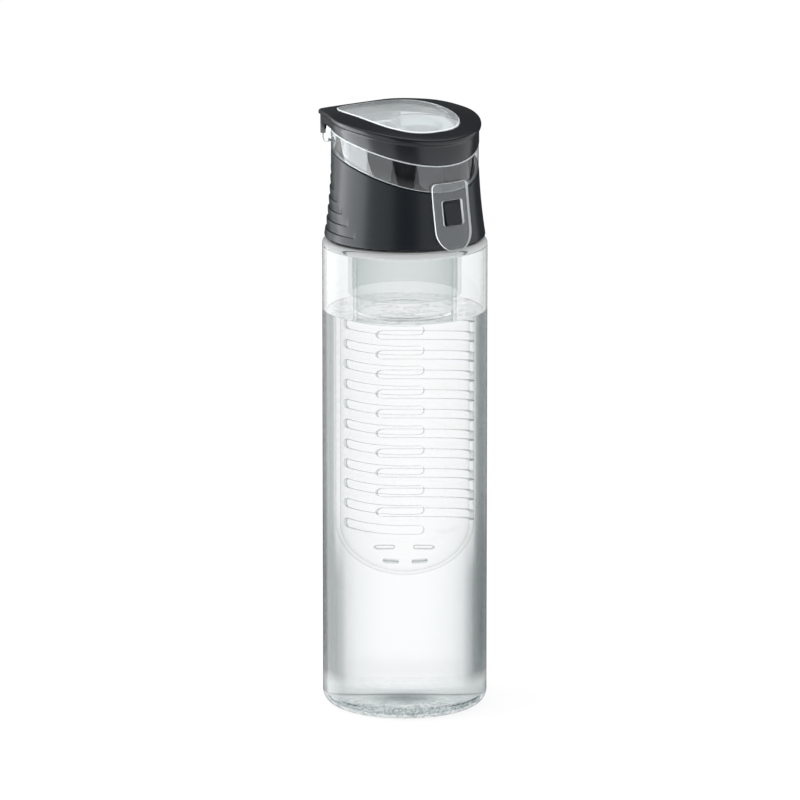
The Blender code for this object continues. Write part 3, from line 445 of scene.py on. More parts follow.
def wrapped(name, x, y, z, body, slot, materials, closed=False, strips=None, **options):
    """Skin over a grid of points: each row is a ring, and the last row may join the first. Each number in
    strips picks the material of the strip that starts at its row."""
    rows, columns = np.broadcast(x, y, z).shape
    if strips is not None:
        options["choice"] = np.repeat(np.asarray(strips)[:rows if closed else rows - 1], columns)
    return finish_piece(name, grid_points(x, y, z), grid_quads(rows, columns, closed=closed), body, slot,
                        materials, **options)


def angles(columns):
    """Evenly spaced angles of a ring, from +X counterclockwise."""
    return np.arange(columns) * TURN / columns


def softened(corners, radius, steps=5):
    """Profile whose inner corners become curves: each corner P with neighbours A and B is replaced by
    (1-t)^2 (P toward A) + 2t(1-t) P + t^2 (P toward B), cut back by its radius or 45% of each side."""
    corners = np.asarray(corners, float)
    radius = np.broadcast_to(radius, len(corners))
    t = np.linspace(0, 1, steps)[:, None]
    pieces = [corners[:1]]
    for before, corner, after, cut in zip(corners[:-2], corners[1:-1], corners[2:], radius[1:-1]):
        if cut == 0:
            pieces.append(corner[None])
            continue
        to_before, to_after = before - corner, after - corner
        length_a, length_b = np.hypot(*to_before), np.hypot(*to_after)
        start = corner + to_before / length_a * min(cut, 0.45 * length_a)
        end = corner + to_after / length_b * min(cut, 0.45 * length_b)
        pieces.append((1 - t) ** 2 * start + 2 * t * (1 - t) * corner + t ** 2 * end)
    return np.vstack(pieces + [corners[-1:]])


def softened_loop(corners, radius, steps=5):
    """A closed profile softened at every corner; the start is moved to the middle of its first side."""
    corners = np.asarray(corners, float)
    radius = np.broadcast_to(radius, len(corners))
    start = (corners[0] + corners[1]) / 2
    order = np.vstack([start, corners[1:], corners[:1], start])
    cuts = np.concatenate([[0], radius[1:], radius[:1], [0]])
    return softened(order, cuts, steps)[:-1]


def turned(name, profile, body, slot, materials, columns=160, centre_y=0.0, closed=False, **options):
    """Solid of revolution: x = r cos a, y = r sin a + centre, z = height, over a (radius, height) profile."""
    radius, height = np.asarray(profile, float).T[:, :, None]
    a = angles(columns)[None, :]
    return wrapped(name, radius * np.cos(a), radius * np.sin(a) + centre_y, height, body, slot, materials,
                   closed=closed, **options)


def pushed(name, outline, low, high, body, slot, materials, replaces=(), edge=0.25):
    """Bar along X: a closed (y, z) outline carried from x = low to x = high. Its end rims are eased over
    the length edge, in two steps that draw the outline toward its middle by 0.3 edge and by edge."""
    outline = np.asarray(outline, float)
    middle = outline.mean(0)
    reach = np.hypot(*(outline - middle).T).mean()
    ends = np.array([0, 1 - edge / reach, 1 - edge * 0.3 / reach, 1])
    shares = np.concatenate([ends, ends[::-1]])
    across = np.array([low, low, low + edge * 0.3, low + edge, high - edge, high - edge * 0.3, high, high])
    y, z = (middle[axis] + (outline[:, axis] - middle[axis]) * shares[:, None] for axis in (0, 1))
    return wrapped(name, across[:, None], y, z, body, slot, materials, replaces=replaces)


def arc(centre_u, centre_v, radius, start, end, steps):
    """Points of an arc: (radius, height) in a turned profile or (y, z) in a pushed outline, with angles in
    degrees from the first axis toward the second."""
    a = np.radians(np.linspace(start, end, steps))
    return np.column_stack([centre_u + radius * np.cos(a), centre_v + radius * np.sin(a)])


def lines(marks, step):
    """Grid lines through every mark, with even lines between so that none are further apart than step."""
    marks = np.unique(np.round(marks, 6))
    parts = [np.linspace(a, b, max(1, math.ceil((b - a) / step - 1e-6)) + 1)[:-1]
             for a, b in zip(marks[:-1], marks[1:])]
    return np.concatenate(parts + [marks[-1:]])


def corner_marks(low, high, corner):
    """The lines that a rounded hole needs across one direction: its ends and two lines in each corner."""
    return [low, low + 0.35 * corner, low + corner, high - corner, high - 0.35 * corner, high]


def holed_grid(u, v, holes):
    """Grid over the lines u and v with rounded holes, and its quads without those in the holes. The five
    points of each corner's path go to a quarter ellipse, (centre - corner cos f, centre - corner sin f)."""
    grid_u, grid_v = np.meshgrid(u, v)
    keep = np.ones((len(v) - 1, len(u) - 1), bool)
    turn = np.radians([0, 22.5, 45, 67.5, 90])
    for u0, u1, v0, v1, corner_u, corner_v in holes:
        i0, i1 = np.searchsorted(u, [u0 - 1e-4, u1 - 1e-4])
        j0, j1 = np.searchsorted(v, [v0 - 1e-4, v1 - 1e-4])
        keep[j0:j1, i0:i1] = False
        for i, edge_u, su in ((i0, u0, 1), (i1, u1, -1)):
            for j, edge_v, sv in ((j0, v0, 1), (j1, v1, -1)):
                rows = j + sv * np.array([2, 1, 0, 0, 0])
                columns = i + su * np.array([0, 0, 0, 1, 2])
                grid_u[rows, columns] = edge_u + su * corner_u * (1 - np.cos(turn))
                grid_v[rows, columns] = edge_v + sv * corner_v * (1 - np.sin(turn))
    return grid_u, grid_v, grid_quads(len(v), len(u), around=False)[keep.ravel()]


def with_wall(piece, thickness, inward=True):
    """Gives an open sheet its wall, even in thickness."""
    wall = piece.modifiers.new("wall", "SOLIDIFY")
    wall.thickness = thickness * MM
    wall.offset = -1 if inward else 1
    wall.use_even_offset = True
    return piece


def smoothstep(value, low, high):
    """0 below low, 1 above high, 3t^2 - 2t^3 between."""
    t = np.clip((value - low) / (high - low), 0, 1)
    return t * t * (3 - 2 * t)


# Curves shared by the cap's pieces

def bowed(y, crest_z, crest_y, front_y, fall):
    """Height that falls away from its crest as a parabola, by fall at front_y."""
    return crest_z - fall * ((crest_y - y) / (crest_y - front_y)) ** 2


def rim_height(y):
    """Slanted top edge of the cap shell."""
    return bowed(y, RIM_CREST, SHELL_TOP_RADIUS, -SHELL_TOP_RADIUS, RIM_FALL)


def lid_height(y):
    """Top of the lid frame at its outer edge."""
    return bowed(y, ROOF_CREST, ROOF_CREST_Y, -LID_RADIUS, ROOF_FALL)


def window_height(y):
    """Top of the lid frame at the window's edge."""
    return bowed(y, WINDOW_CREST, ROOF_CREST_Y, -LID_RADIUS, WINDOW_FALL)


def frame_low_height(y):
    """Lower edge of the lid frame."""
    return bowed(y, FRAME_BOTTOM_CREST, FRAME_BOTTOM_CREST_Y, -LID_RADIUS, FRAME_BOTTOM_FALL)


def shell_radius(height):
    """Cap shell's radius: top radius + flare (1 - h)^2, h from 0 at its bottom to 1 at its crest."""
    up = np.clip((height - SHELL_BOTTOM) / SHELL_HEIGHT, 0, 1)
    return SHELL_TOP_RADIUS + SHELL_FLARE * (1 - up) ** 2


CAP_ANGLES = angles(288)
FROM_BACK = np.abs((CAP_ANGLES - np.pi / 2 + np.pi) % TURN - np.pi)


def lid_outline(offset):
    """Radii of the lid's plan: a circle with tangents to a straight back edge, blended by a power mean."""
    corner = math.atan2(LID_BACK_HALF_WIDTH, LID_BACK_Y)
    tangent = corner + math.acos(LID_RADIUS / math.hypot(LID_BACK_HALF_WIDTH, LID_BACK_Y))
    circle = LID_RADIUS + offset
    side = circle / np.cos(np.clip(FROM_BACK - tangent, -tangent, 0))
    back = (LID_BACK_Y + offset) / np.cos(np.clip(FROM_BACK, 0, tangent))
    blend = side * (1 + (side / back) ** 16) ** (-1 / 16)
    return np.where(FROM_BACK < tangent, blend, circle)


def window_xy(inset, share=1.0):
    """Lid window's outline: a superellipse |x/a|^p + |y/b|^p = 1 about y = WINDOW_Y, drawn in by inset and
    then shrunk to a share."""
    c, s = np.cos(CAP_ANGLES), np.sin(CAP_ANGLES)
    x = np.sign(c) * np.abs(c) ** (2 / WINDOW_POWER) * (WINDOW_HALF_X - inset) * share
    y = np.sign(s) * np.abs(s) ** (2 / WINDOW_POWER) * (WINDOW_HALF_Y - inset) * share + WINDOW_Y
    return x, y


def rings(name, rows, body, slot, materials, **options):
    """Skin over a list of (x, y, z) rings."""
    x, y, z = (np.array([np.broadcast_to(row[axis], CAP_ANGLES.shape) for row in rows]) for axis in range(3))
    return wrapped(name, x, y, z, body, slot, materials, **options)


def polar(radius, height):
    """Ring about the bottle's axis: the radius may vary with the angle, and the height with it or with y."""
    x, y = radius * np.cos(CAP_ANGLES), radius * np.sin(CAP_ANGLES)
    return x, y, height(y) if callable(height) else height


def under_roof(radius, drop):
    """Ring about the axis at drop below the lid frame's outer top edge."""
    return polar(radius, lambda y: lid_height(y) - drop)


def at_window(inset, drop):
    """Ring along the window's outline, drawn in by inset, at drop below the window's edge."""
    x, y = window_xy(inset)
    return x, y, window_height(y) - drop


# Bottle and water

def base_dome(lift):
    """Raised middle of the base: height PUSH_UP_HEIGHT (1 - (r / PUSH_UP_RADIUS)^2), lifted by lift."""
    r = np.linspace(0, PUSH_UP_RADIUS - 0.5, 14)
    return np.column_stack([r, PUSH_UP_HEIGHT * (1 - (r / PUSH_UP_RADIUS) ** 2) + lift])


def bottle():
    """Bottle with its wall: outer profile from the base's middle to the lip, then the inner one back down.
    The profile's height and radius pick the finish: the wall, its thick base, the shoulder with a painted
    glow, its top with a painted highlight, the neck, and the inner skin where the eye looks through two faces
    of one thick moulding."""
    ring = BODY_RADIUS - BASE_CORNER
    outer = np.vstack([
        base_dome(0), [[STANDING_RING, 0.0], [ring, 0.0]], arc(ring, BASE_CORNER, BASE_CORNER, -84, 0, 16),
        [[BODY_RADIUS, 60.0], [BODY_RADIUS, 130.0]],
        arc(BODY_RADIUS - SHOULDER_CORNER, SHOULDER_TOP - SHOULDER_CORNER, SHOULDER_CORNER, 0, 86, 16),
        softened([[31.0, SHOULDER_TOP], [NECK_RADIUS, SHOULDER_TOP], [NECK_RADIUS, NECK_TOP],
                  [NECK_BORE, NECK_TOP], [NECK_BORE, SHOULDER_TOP + 0.2],
                  [NECK_BORE + 1.6, SHOULDER_TOP - BODY_WALL], [31.0, SHOULDER_TOP - BODY_WALL]],
                 [0, 0.8, 0.5, 0.5, 1.2, 1.4, 0], 7)])
    inner = np.vstack([
        arc(INNER_RADIUS - 1.7, SHOULDER_TOP - BODY_WALL - 1.7, 1.7, 86, 0, 10),
        [[INNER_RADIUS, 130.0], [INNER_RADIUS, 60.0]],
        arc(INNER_RADIUS - INNER_CORNER, BODY_WALL + INNER_CORNER, INNER_CORNER, 0, -84, 14),
        [[STANDING_RING, BODY_WALL + 0.05]], base_dome(BODY_WALL)[::-1]])
    profile = np.vstack([outer, inner])
    radius, height = profile.T
    outside = np.arange(len(profile)) < len(outer)
    base = (height < 5.5) & outside
    neck = height > SHOULDER_TOP - 3.35
    skin = (height < 4.6) | (height < 6) & (radius < 28) | neck & (radius > 25.5) & ~outside
    lit_top = (height > SHOULDER_TOP - 0.1) & (radius > 27.9) & outside
    shoulder = (height > SHOULDER_TOP - 2.6) & (radius > 31.5) & outside
    strips = np.select([base, skin, lit_top, shoulder, neck], [1, 4, 5, 2, 3], 0)
    return turned("bottle", profile, "bottle", "clear_bottle",
                  [BOTTLE_CLEAR, BOTTLE_BASE, SHOULDER_CLEAR, NECK_CLEAR, INNER_SKIN, SHOULDER_LIT],
                  columns=200, replaces=["bottle_body"], strips=strips)


def neck_thread():
    """Two-start thread on the neck. A section is carried round 1.1 turns: radius 27.4 + 0.6 h f - 0.1 (1 - f)
    and height z0 + lead * turns + w, with (w, h) the section and f fading at both ends."""
    turns = np.linspace(0, 1.1, 150)
    fade = smoothstep(turns, 0, 0.08) * (1 - smoothstep(turns, 1.02, 1.1))
    across, out = np.array([[-0.9, 0], [-0.35, 1], [0.35, 1], [0.9, 0], [0.0, -0.5]]).T[:, :, None]
    radius = NECK_RADIUS - 0.1 + 0.6 * out * fade - 0.1 * (1 - fade)
    height = NECK_THREAD_BOTTOM + NECK_THREAD_LEAD * turns + across
    quads = grid_quads(5, 150, around=False, closed=True)
    for number, start in ((1, 0), (2, np.pi)):
        a = start + turns * TURN
        finish_piece(f"neck_thread_{number}", grid_points(radius * np.cos(a), radius * np.sin(a), height),
                     quads, "bottle", "clear_bottle", [NECK_CLEAR])


def water():
    """Drink up to its level, lapping 0.08 into the wall, with d the distance from a wall: the surface climbs
    by 0.35 e^(-d / 0.6) at the bottle and by 0.8 e^(-d / 0.5) at both faces of the strainer."""
    reach = INNER_RADIUS + WATER_LAP
    strainer = BASKET_RADIUS - BASKET_WALL / 2
    r = np.concatenate([np.linspace(0, 18, 10), np.linspace(18.6, 20.5, 10), np.linspace(20.8, 21.6, 3),
                        np.linspace(21.8, 24.5, 12), np.linspace(25.5, 30, 6), np.linspace(30.6, reach, 16)])
    climb = 0.35 * np.exp(-(reach - r) / 0.6)
    climb += 0.8 * np.exp(-np.maximum(np.abs(r - strainer) - BASKET_WALL / 2, 0) / 0.5)
    profile = np.vstack([base_dome(BODY_WALL - WATER_LAP), [[STANDING_RING, BODY_WALL + 0.05 - WATER_LAP]],
                         arc(INNER_RADIUS - INNER_CORNER, BODY_WALL + INNER_CORNER, INNER_CORNER + WATER_LAP,
                             -84, 0, 14),
                         [[reach, 60.0], [reach, 130.0]],
                         np.column_stack([r, WATER_LEVEL + climb])[::-1]])
    radius, height = profile.T
    top = height > WATER_LEVEL - 1.0
    edge = top & (radius > BASKET_RADIUS - 0.05) & (radius < BASKET_RADIUS + 1.0)
    floor_skin = (height < 4.6) | (height < 6) & (radius < 28)
    return turned("water", profile, "bottle", "clear_bottle", [WATER, WATER_SURFACE, WATER_FLOOR, MENISCUS],
                  columns=200, sharp=60.0, strips=np.select([edge, top, floor_skin], [3, 1, 2], 0))


# Strainer

def infuser_holder():
    """Frosted tube: a flat-ended ring section with small eased edges, spun about the axis."""
    profile = softened_loop([[HOLDER_BORE, HOLDER_BOTTOM], [HOLDER_RADIUS, HOLDER_BOTTOM],
                             [HOLDER_RADIUS, HOLDER_TOP], [HOLDER_BORE, HOLDER_TOP]], [0.3, 0.5, 0.2, 0.2])
    return turned("infuser_holder", profile, "cap", "frosted_holder", [HOLDER_FROSTED], columns=180,
                  closed=True, replaces=["infuser_holder"])


def infuser_basket():
    """Strainer: with s the length along the meridian from the bottom pole, the round end is
    r = R sin(s/R), z = c - (R - 2) cos(s/R), and the tube above is r = R, z = c + s - R pi/2.
    A round helical ridge near the top is its screw thread. Slots are rounded holes of the grid."""
    radius = BASKET_RADIUS
    quarter = radius * np.pi / 2
    dome_centre = BASKET_BOTTOM + radius
    to_s = quarter - dome_centre
    dome_low = quarter - radius * DOME_SLOT_STEP - DOME_SLOT_HEIGHT / 2
    holes, u_marks, v_marks = [], [SLOT_START - 0.3, SLOT_START - 0.3 + TURN], [0.0, 1.2, quarter]

    def slot(start, reach, low, tall, corner_u, corner_v):
        """Notes a slot and the grid lines that it needs."""
        nonlocal u_marks, v_marks
        holes.append((start, start + reach, low, low + tall, corner_u, corner_v))
        u_marks += corner_marks(start, start + reach, corner_u)
        v_marks += corner_marks(low, low + tall, corner_v)

    for side in (0, np.pi):
        for row in range(SLOT_ROWS):
            slot(SLOT_START + side, SLOT_REACH, SLOT_LOWEST + SLOT_PITCH * row + to_s, SLOT_HEIGHT,
                 SLOT_CORNER / radius, SLOT_CORNER)
        for step in (0, 1):
            slot(DOME_SLOT_MIDDLE - DOME_SLOT_REACH / 2 + side + DOME_SLOT_STEP * step, DOME_SLOT_REACH,
                 dome_low, DOME_SLOT_HEIGHT, 0.05, 0.9)
    smooth_top = BASKET_THREAD_BOTTOM - 1.5 + to_s
    v_marks += [WATER_LEVEL + to_s, smooth_top, BASKET_TOP + to_s]
    u = lines(u_marks, 0.07)
    v = np.concatenate([lines([m for m in v_marks if m <= smooth_top], 2.4),
                        np.linspace(smooth_top + 0.4, BASKET_TOP + to_s, 66)])
    grid_u, grid_v, quads = holed_grid(u, v, holes)
    in_dome = grid_v < quarter
    z = np.where(in_dome, dome_centre - (radius - 2.0) * np.cos(grid_v / radius),
                 dome_centre + grid_v - quarter)
    r = np.where(in_dome, radius * np.sin(np.minimum(grid_v, quarter) / radius), radius)
    turns = (z - BASKET_THREAD_BOTTOM + 0.5) / BASKET_THREAD_PITCH - grid_u / TURN
    ridge = np.exp(-((turns - np.round(turns)) * BASKET_THREAD_PITCH / BASKET_THREAD_WIDTH) ** 2)
    ridge *= smoothstep(z, BASKET_THREAD_BOTTOM, BASKET_THREAD_BOTTOM + BASKET_THREAD_FADE)
    ridge *= 1 - smoothstep(z, BASKET_THREAD_TOP - BASKET_THREAD_FADE, BASKET_THREAD_TOP)
    r = r + BASKET_THREAD_RISE * ridge
    piece = finish_piece("infuser_basket", grid_points(r * np.cos(grid_u), r * np.sin(grid_u), z), quads,
                         "infuser", "clear_basket", [BASKET_WET, BASKET_DRY, SLOT_EDGE, BASKET_DRY],
                         replaces=["infuser_basket"], sharp=60.0)
    centres = np.empty(len(piece.data.polygons) * 3)
    piece.data.polygons.foreach_get("center", centres)
    dry = (centres.reshape(-1, 3)[:, 2] > WATER_LEVEL * MM).astype(np.int32)
    piece.data.polygons.foreach_set("material_index", dry)
    with_wall(piece, BASKET_WALL).modifiers["wall"].material_offset_rim = 2
    return piece


# Cap

def cap_shell():
    """Outer shell in rings: flared radius, rim slanted as a parabola, and seven finger ribs round the back.
    Each rib is a scoop 0.7 deep above a small ledge, which eases back to the surface at the next ledge and
    grows shallower toward its two ends. Rows without a reach go all the way round."""
    rim = rim_height(SHELL_TOP_RADIUS * np.sin(CAP_ANGLES))
    rows = [(0.0, 0.9, None), (0.25, 0.18, None), (0.7, 0.0, None), (1.6, 0.0, None), (2.4, 0.0, None)]
    scoop = ((0.0, 0.0), (0.03, 0.1), (0.055, 0.44), (0.08, 0.66), (0.11, 0.7), (0.25, 0.54), (0.5, 0.28),
             (0.75, 0.1), (0.93, 0.02))
    for rib in range(RIB_COUNT):
        reach = LOW_RIB_REACH + (HIGH_RIB_REACH - LOW_RIB_REACH) * rib / (RIB_COUNT - 1)
        rows += [(RIB_FIRST + RIB_PITCH * (rib + share), depth, reach) for share, depth in scoop]
    rows.append((RIB_FIRST + RIB_PITCH * RIB_COUNT, 0.0, HIGH_RIB_REACH))
    made = []
    for index, (height, depth, reach) in enumerate(rows):
        height = np.minimum(SHELL_BOTTOM + height, rim - 0.5 - (len(rows) - index) * 0.05)
        if reach:
            depth = depth * (1 - smoothstep(FROM_BACK, reach - 0.012, reach + 0.012))
            depth = depth * (1 - 0.4 * smoothstep(FROM_BACK, reach - 0.5, reach))
        made.append(polar(shell_radius(height) - depth, height))
    top = shell_radius(rim)
    made += [polar(top - inset, rim - drop) for inset, drop in
             ((0, 0.45), (0.06, 0.2), (0.22, 0.04), (0.45, 0), (1.35, 0), (1.58, 0.04), (1.74, 0.2),
              (SHELL_WALL, 0.45))]
    for share in (0.75, 0.5, 0.25, 0.0):
        height = SHELL_BOTTOM + (rim - SHELL_BOTTOM) * share
        made.append(polar(shell_radius(height) - SHELL_WALL, height))
    return rings("cap_shell", made, "cap", "black_shell", [SHELL_BLACK], closed=True, replaces=["cap_shell"])


def hinge_barrel():
    """Middle of the hinge: a round barrel on the hinge axis with a foot down the shell's back wall."""
    top, front = RIM_CREST - 0.4, SHELL_TOP_RADIUS - 2.4
    outline = np.vstack([[[front, top], [front, top - 5.5]],
                         arc(HINGE_Y, HINGE_Z, KNUCKLE_RADIUS, -55, 180, 30),
                         [[HINGE_Y - KNUCKLE_RADIUS, top]]])
    return pushed("hinge_barrel", outline, 0.4 - LUG_INNER_X, LUG_INNER_X - 0.4, "cap", "black_shell",
                  [SHELL_BLACK])


def latch_catch():
    """Catch for the latch: a ramp standing 2.3 out of the shell with a flat underside, 7.4 wide."""
    low, high = shell_radius(CATCH_BOTTOM), shell_radius(CATCH_TOP)
    outline = softened_loop([[-low + 0.9, CATCH_BOTTOM], [-low - 2.3, CATCH_BOTTOM], [-high - 0.3, CATCH_TOP],
                             [-high + 0.9, CATCH_TOP]], [0, 0.5, 0.6, 0], 6)
    return pushed("latch_catch", outline, -3.7, 3.7, "cap", "black_shell", [SHELL_BLACK], edge=0.4)


def cap_insert():
    """Deck with its skirt and collar: one profile spun about the axis."""
    collar_bore, collar_radius, collar_bottom = 20.5, 22.1, DECK_BOTTOM - 8.0
    skirt_bore, skirt_radius, skirt_bottom = 28.1, 29.9, 203.9
    profile = softened(
        [[0, DECK_BOTTOM], [collar_bore, DECK_BOTTOM], [collar_bore, collar_bottom],
         [collar_radius, collar_bottom], [collar_radius, DECK_BOTTOM], [skirt_bore, DECK_BOTTOM],
         [skirt_bore, skirt_bottom], [skirt_radius, skirt_bottom], [skirt_radius, DECK_TOP],
         [12.5, DECK_TOP], [0, DECK_TOP]], [0, 0.3, 0.3, 0.3, 0.3, 0.3, 0.4, 0.4, 0.6, 0, 0])
    return turned("cap_insert", profile, "cap", "black_insert", [INSERT_BLACK], columns=180,
                  replaces=["cap_insert"])


def spout():
    """Drinking spout: a tube with a rounded lip and a fillet onto the deck, off the axis toward the latch."""
    profile = softened_loop([[SPOUT_BORE, DECK_BOTTOM - 0.2], [SPOUT_BORE, SPOUT_TOP],
                             [SPOUT_RADIUS, SPOUT_TOP], [SPOUT_RADIUS, DECK_TOP],
                             [SPOUT_RADIUS + 1.8, DECK_TOP - 0.6], [SPOUT_RADIUS + 1.8, DECK_BOTTOM + 0.3]],
                            [0, 0.9, 0.9, 1.4, 0, 0], 7)
    return turned("spout", profile, "cap", "black_insert", [INSERT_BLACK], columns=120, centre_y=SPOUT_Y,
                  closed=True)


def hinge_pin():
    """Steel pin with eased ends: a circle carried along the hinge axis."""
    outline = arc(HINGE_Y, HINGE_Z, PIN_RADIUS, 0, 352.5, 48)
    return pushed("hinge_pin", outline, 0.2 - LUG_OUTER_X, LUG_OUTER_X - 0.2, "cap", "pin_steel", [STEEL],
                  replaces=["hinge_pin"], edge=0.2)


# Lid

def lid_frame():
    """Lid rim in rings round its plan: skirt wall, overhanging lip with a rounded edge, crowned flange up to
    the window, and back inside. The wall over the hinge is deeper, most at the corners past the barrel."""
    wall, lip = lid_outline(0), lid_outline(0.89)
    deep = 1 - smoothstep(FROM_BACK, math.radians(25.8), math.radians(28.2))
    corner = smoothstep(FROM_BACK, math.radians(24.2), math.radians(25.2)) * deep
    edge = frame_low_height(wall * np.sin(CAP_ANGLES))
    low = edge + (RIM_CREST + 3.8 - edge) * deep - 2.2 * corner
    wall = wall + 0.7 * corner

    def top(y):
        """Outer top edge: lid_height, raised by up to 0.7 toward the hinge."""
        return lid_height(y) + 0.7 * smoothstep(y, 2.0, 18.0)

    made = [polar(wall - 0.35, low), polar(wall - 0.08, low + 0.08), polar(wall, low + 0.35)]
    for line, out, drop in ((wall, 0, 3.4), (wall, 0.05, 2.6), (wall, 0.35, 2.15), (lip, -0.12, 1.8),
                            (lip, 0, 1.4), (lip, 0, 0.95), (lip, -0.12, 0.5), (lip, -0.4, 0.18),
                            (lip, -0.85, 0.02), (lip, -1.6, -0.06)):
        made.append(polar(line + out, lambda y: top(y) - drop))
    x_out, y_out, _ = made[-1]
    x_in, y_in = window_xy(-1.4)
    for share in (0.35, 0.7, 1.0):
        y = y_out + (y_in - y_out) * share
        crown = 0.10 * math.sin(math.pi * share)
        height = top(y) + 0.06 + (window_height(y) - top(y) - 0.1) * share ** 1.5 + crown
        made.append((x_out + (x_in - x_out) * share, y, height))
    made += [at_window(-0.5, 0.06), at_window(-0.12, 0.18), at_window(0, 0.5), at_window(0, 1.8),
             under_roof(lid_outline(-1.3), 1.8), polar(lid_outline(-1.3), low)]
    return rings("lid_frame", made, "lid", "black_frame", [FRAME_BLACK], closed=True, replaces=["lid_frame"])


def lid_lug(name, low, high):
    """Hinge lug of the clear lid: a round eye on an arm that rises behind the band into the roof."""
    front, back, foot = 25.3, HINGE_Y - 0.5, RIM_CREST + 0.4
    top = float(lid_height(back)) - 3.0
    outline = np.vstack([[[front, top], [front, foot], [HINGE_Y - KNUCKLE_RADIUS, foot]],
                         arc(HINGE_Y, HINGE_Z, KNUCKLE_RADIUS, 190, 440, 32),
                         [[back, HINGE_Z + KNUCKLE_RADIUS], [back, top]]])
    return pushed(name, outline, low, high, "lid", "clear_lid", [LUG_CLEAR])


def lid_body():
    """Clear lid in rings: domed pane, step down under the frame's flange, roof, and the band to the shell,
    then back up inside to the underside of the pane."""
    low = frame_low_height(lid_outline(0) * np.sin(CAP_ANGLES)) - 0.3
    rim = rim_height(BAND_RADIUS * np.sin(CAP_ANGLES)) + 0.4
    edge = lid_outline(-1.7)
    pane_top = float(window_height(WINDOW_Y)) + PANE_RISE

    def domed(share, lower):
        """Pane ring shrunk to share: window edge height + PANE_RISE (1 - share^2), less lower."""
        x, y = window_xy(0.4, share)
        return x, y, window_height(y) + PANE_RISE * (1 - share ** 2) - lower

    pane = [(0, WINDOW_Y, pane_top)] + [domed(share, 0) for share in (0.12, 0.3, 0.5, 0.7, 0.85, 0.95, 0.985)]
    step = [at_window(0.45, 0.12), at_window(0.4, 0.4), at_window(0.4, LID_STEP), under_roof(edge, LID_STEP),
            under_roof(edge, LID_STEP + 1.3), under_roof(edge - 0.3, LID_STEP + 1.6)]
    band = [under_roof(29.6, LID_STEP + 1.75), polar(29.6, low), polar(30.9, low), polar(31.12, low - 0.08),
            polar(BAND_RADIUS, low - 0.55), polar(BAND_RADIUS, rim + 0.35), polar(31.1, rim + 0.1),
            polar(30.85, rim), polar(29.55, rim), polar(29.3, rim + 0.1), polar(29.2, rim + 0.35),
            polar(29.1, low - 0.8)]
    roof = [under_roof(28.0, LID_STEP + 2.6), under_roof(27.4, LID_STEP + 1.95),
            at_window(2.3, LID_STEP + 1.6), at_window(2.0, LID_STEP + 1.2), at_window(2.0, 1.9)]
    below = [domed(share, PANE_WALL) for share in (0.9, 0.8, 0.6, 0.4, 0.2)]
    made = pane + step + band + roof + below + [(0, WINDOW_Y, pane_top - PANE_WALL)]
    strips = np.zeros(len(made), int)
    strips[:7] = strips[-6:] = 2
    # LIT_EDGE gives the step's rim a painted highlight, and BAND_EDGE gives the band's rims a painted grey
    # shade
    strips[7:9] = 1
    strips[[16, 17, 19, 20, 21]] = 3
    return rings("lid_body", made, "lid", "clear_lid", [LID_CLEAR, LIT_EDGE, PANE_CLEAR, BAND_EDGE],
                 replaces=["lid_body"], strips=strips)


def plug_boss():
    """Clear tube under the pane that holds the plug; its top ring follows the underside of the pane."""
    made = []
    for radius, at_pane in ((10.2, False), (10.2, True), (8.4, True), (8.4, False)):
        x, y, _ = polar(radius, 0)
        made.append((x, y + SPOUT_Y, window_height(y + SPOUT_Y) - 1.65 if at_pane else 248.9))
    return rings("plug_boss", made, "lid", "clear_lid", [LID_CLEAR], closed=True)


def spout_plug():
    """Silicone plug: nose, flange and stud in one profile, the stud slightly hollow on top."""
    nose, flange, stud = 7.25, 13.5, 8.1
    nose_bottom, flange_bottom, flange_top, stud_top = 242.3, 245.8, 248.6, 251.1
    hollow, hollow_bottom = stud - 1.5, stud_top - 0.8
    profile = softened([[0, nose_bottom], [nose, nose_bottom], [nose, flange_bottom],
                        [flange, flange_bottom], [flange, flange_top], [stud, flange_top],
                        [stud, stud_top], [hollow, stud_top], [hollow - 0.4, hollow_bottom],
                        [0, hollow_bottom]], [0, 0.6, 0.3, 0.6, 0.6, 0.3, 0.4, 0.3, 0.4, 0], 6)
    return turned("spout_plug", profile, "lid", "silicone", [PLUG_SILICONE], columns=120, centre_y=SPOUT_Y,
                  replaces=["spout_plug"])


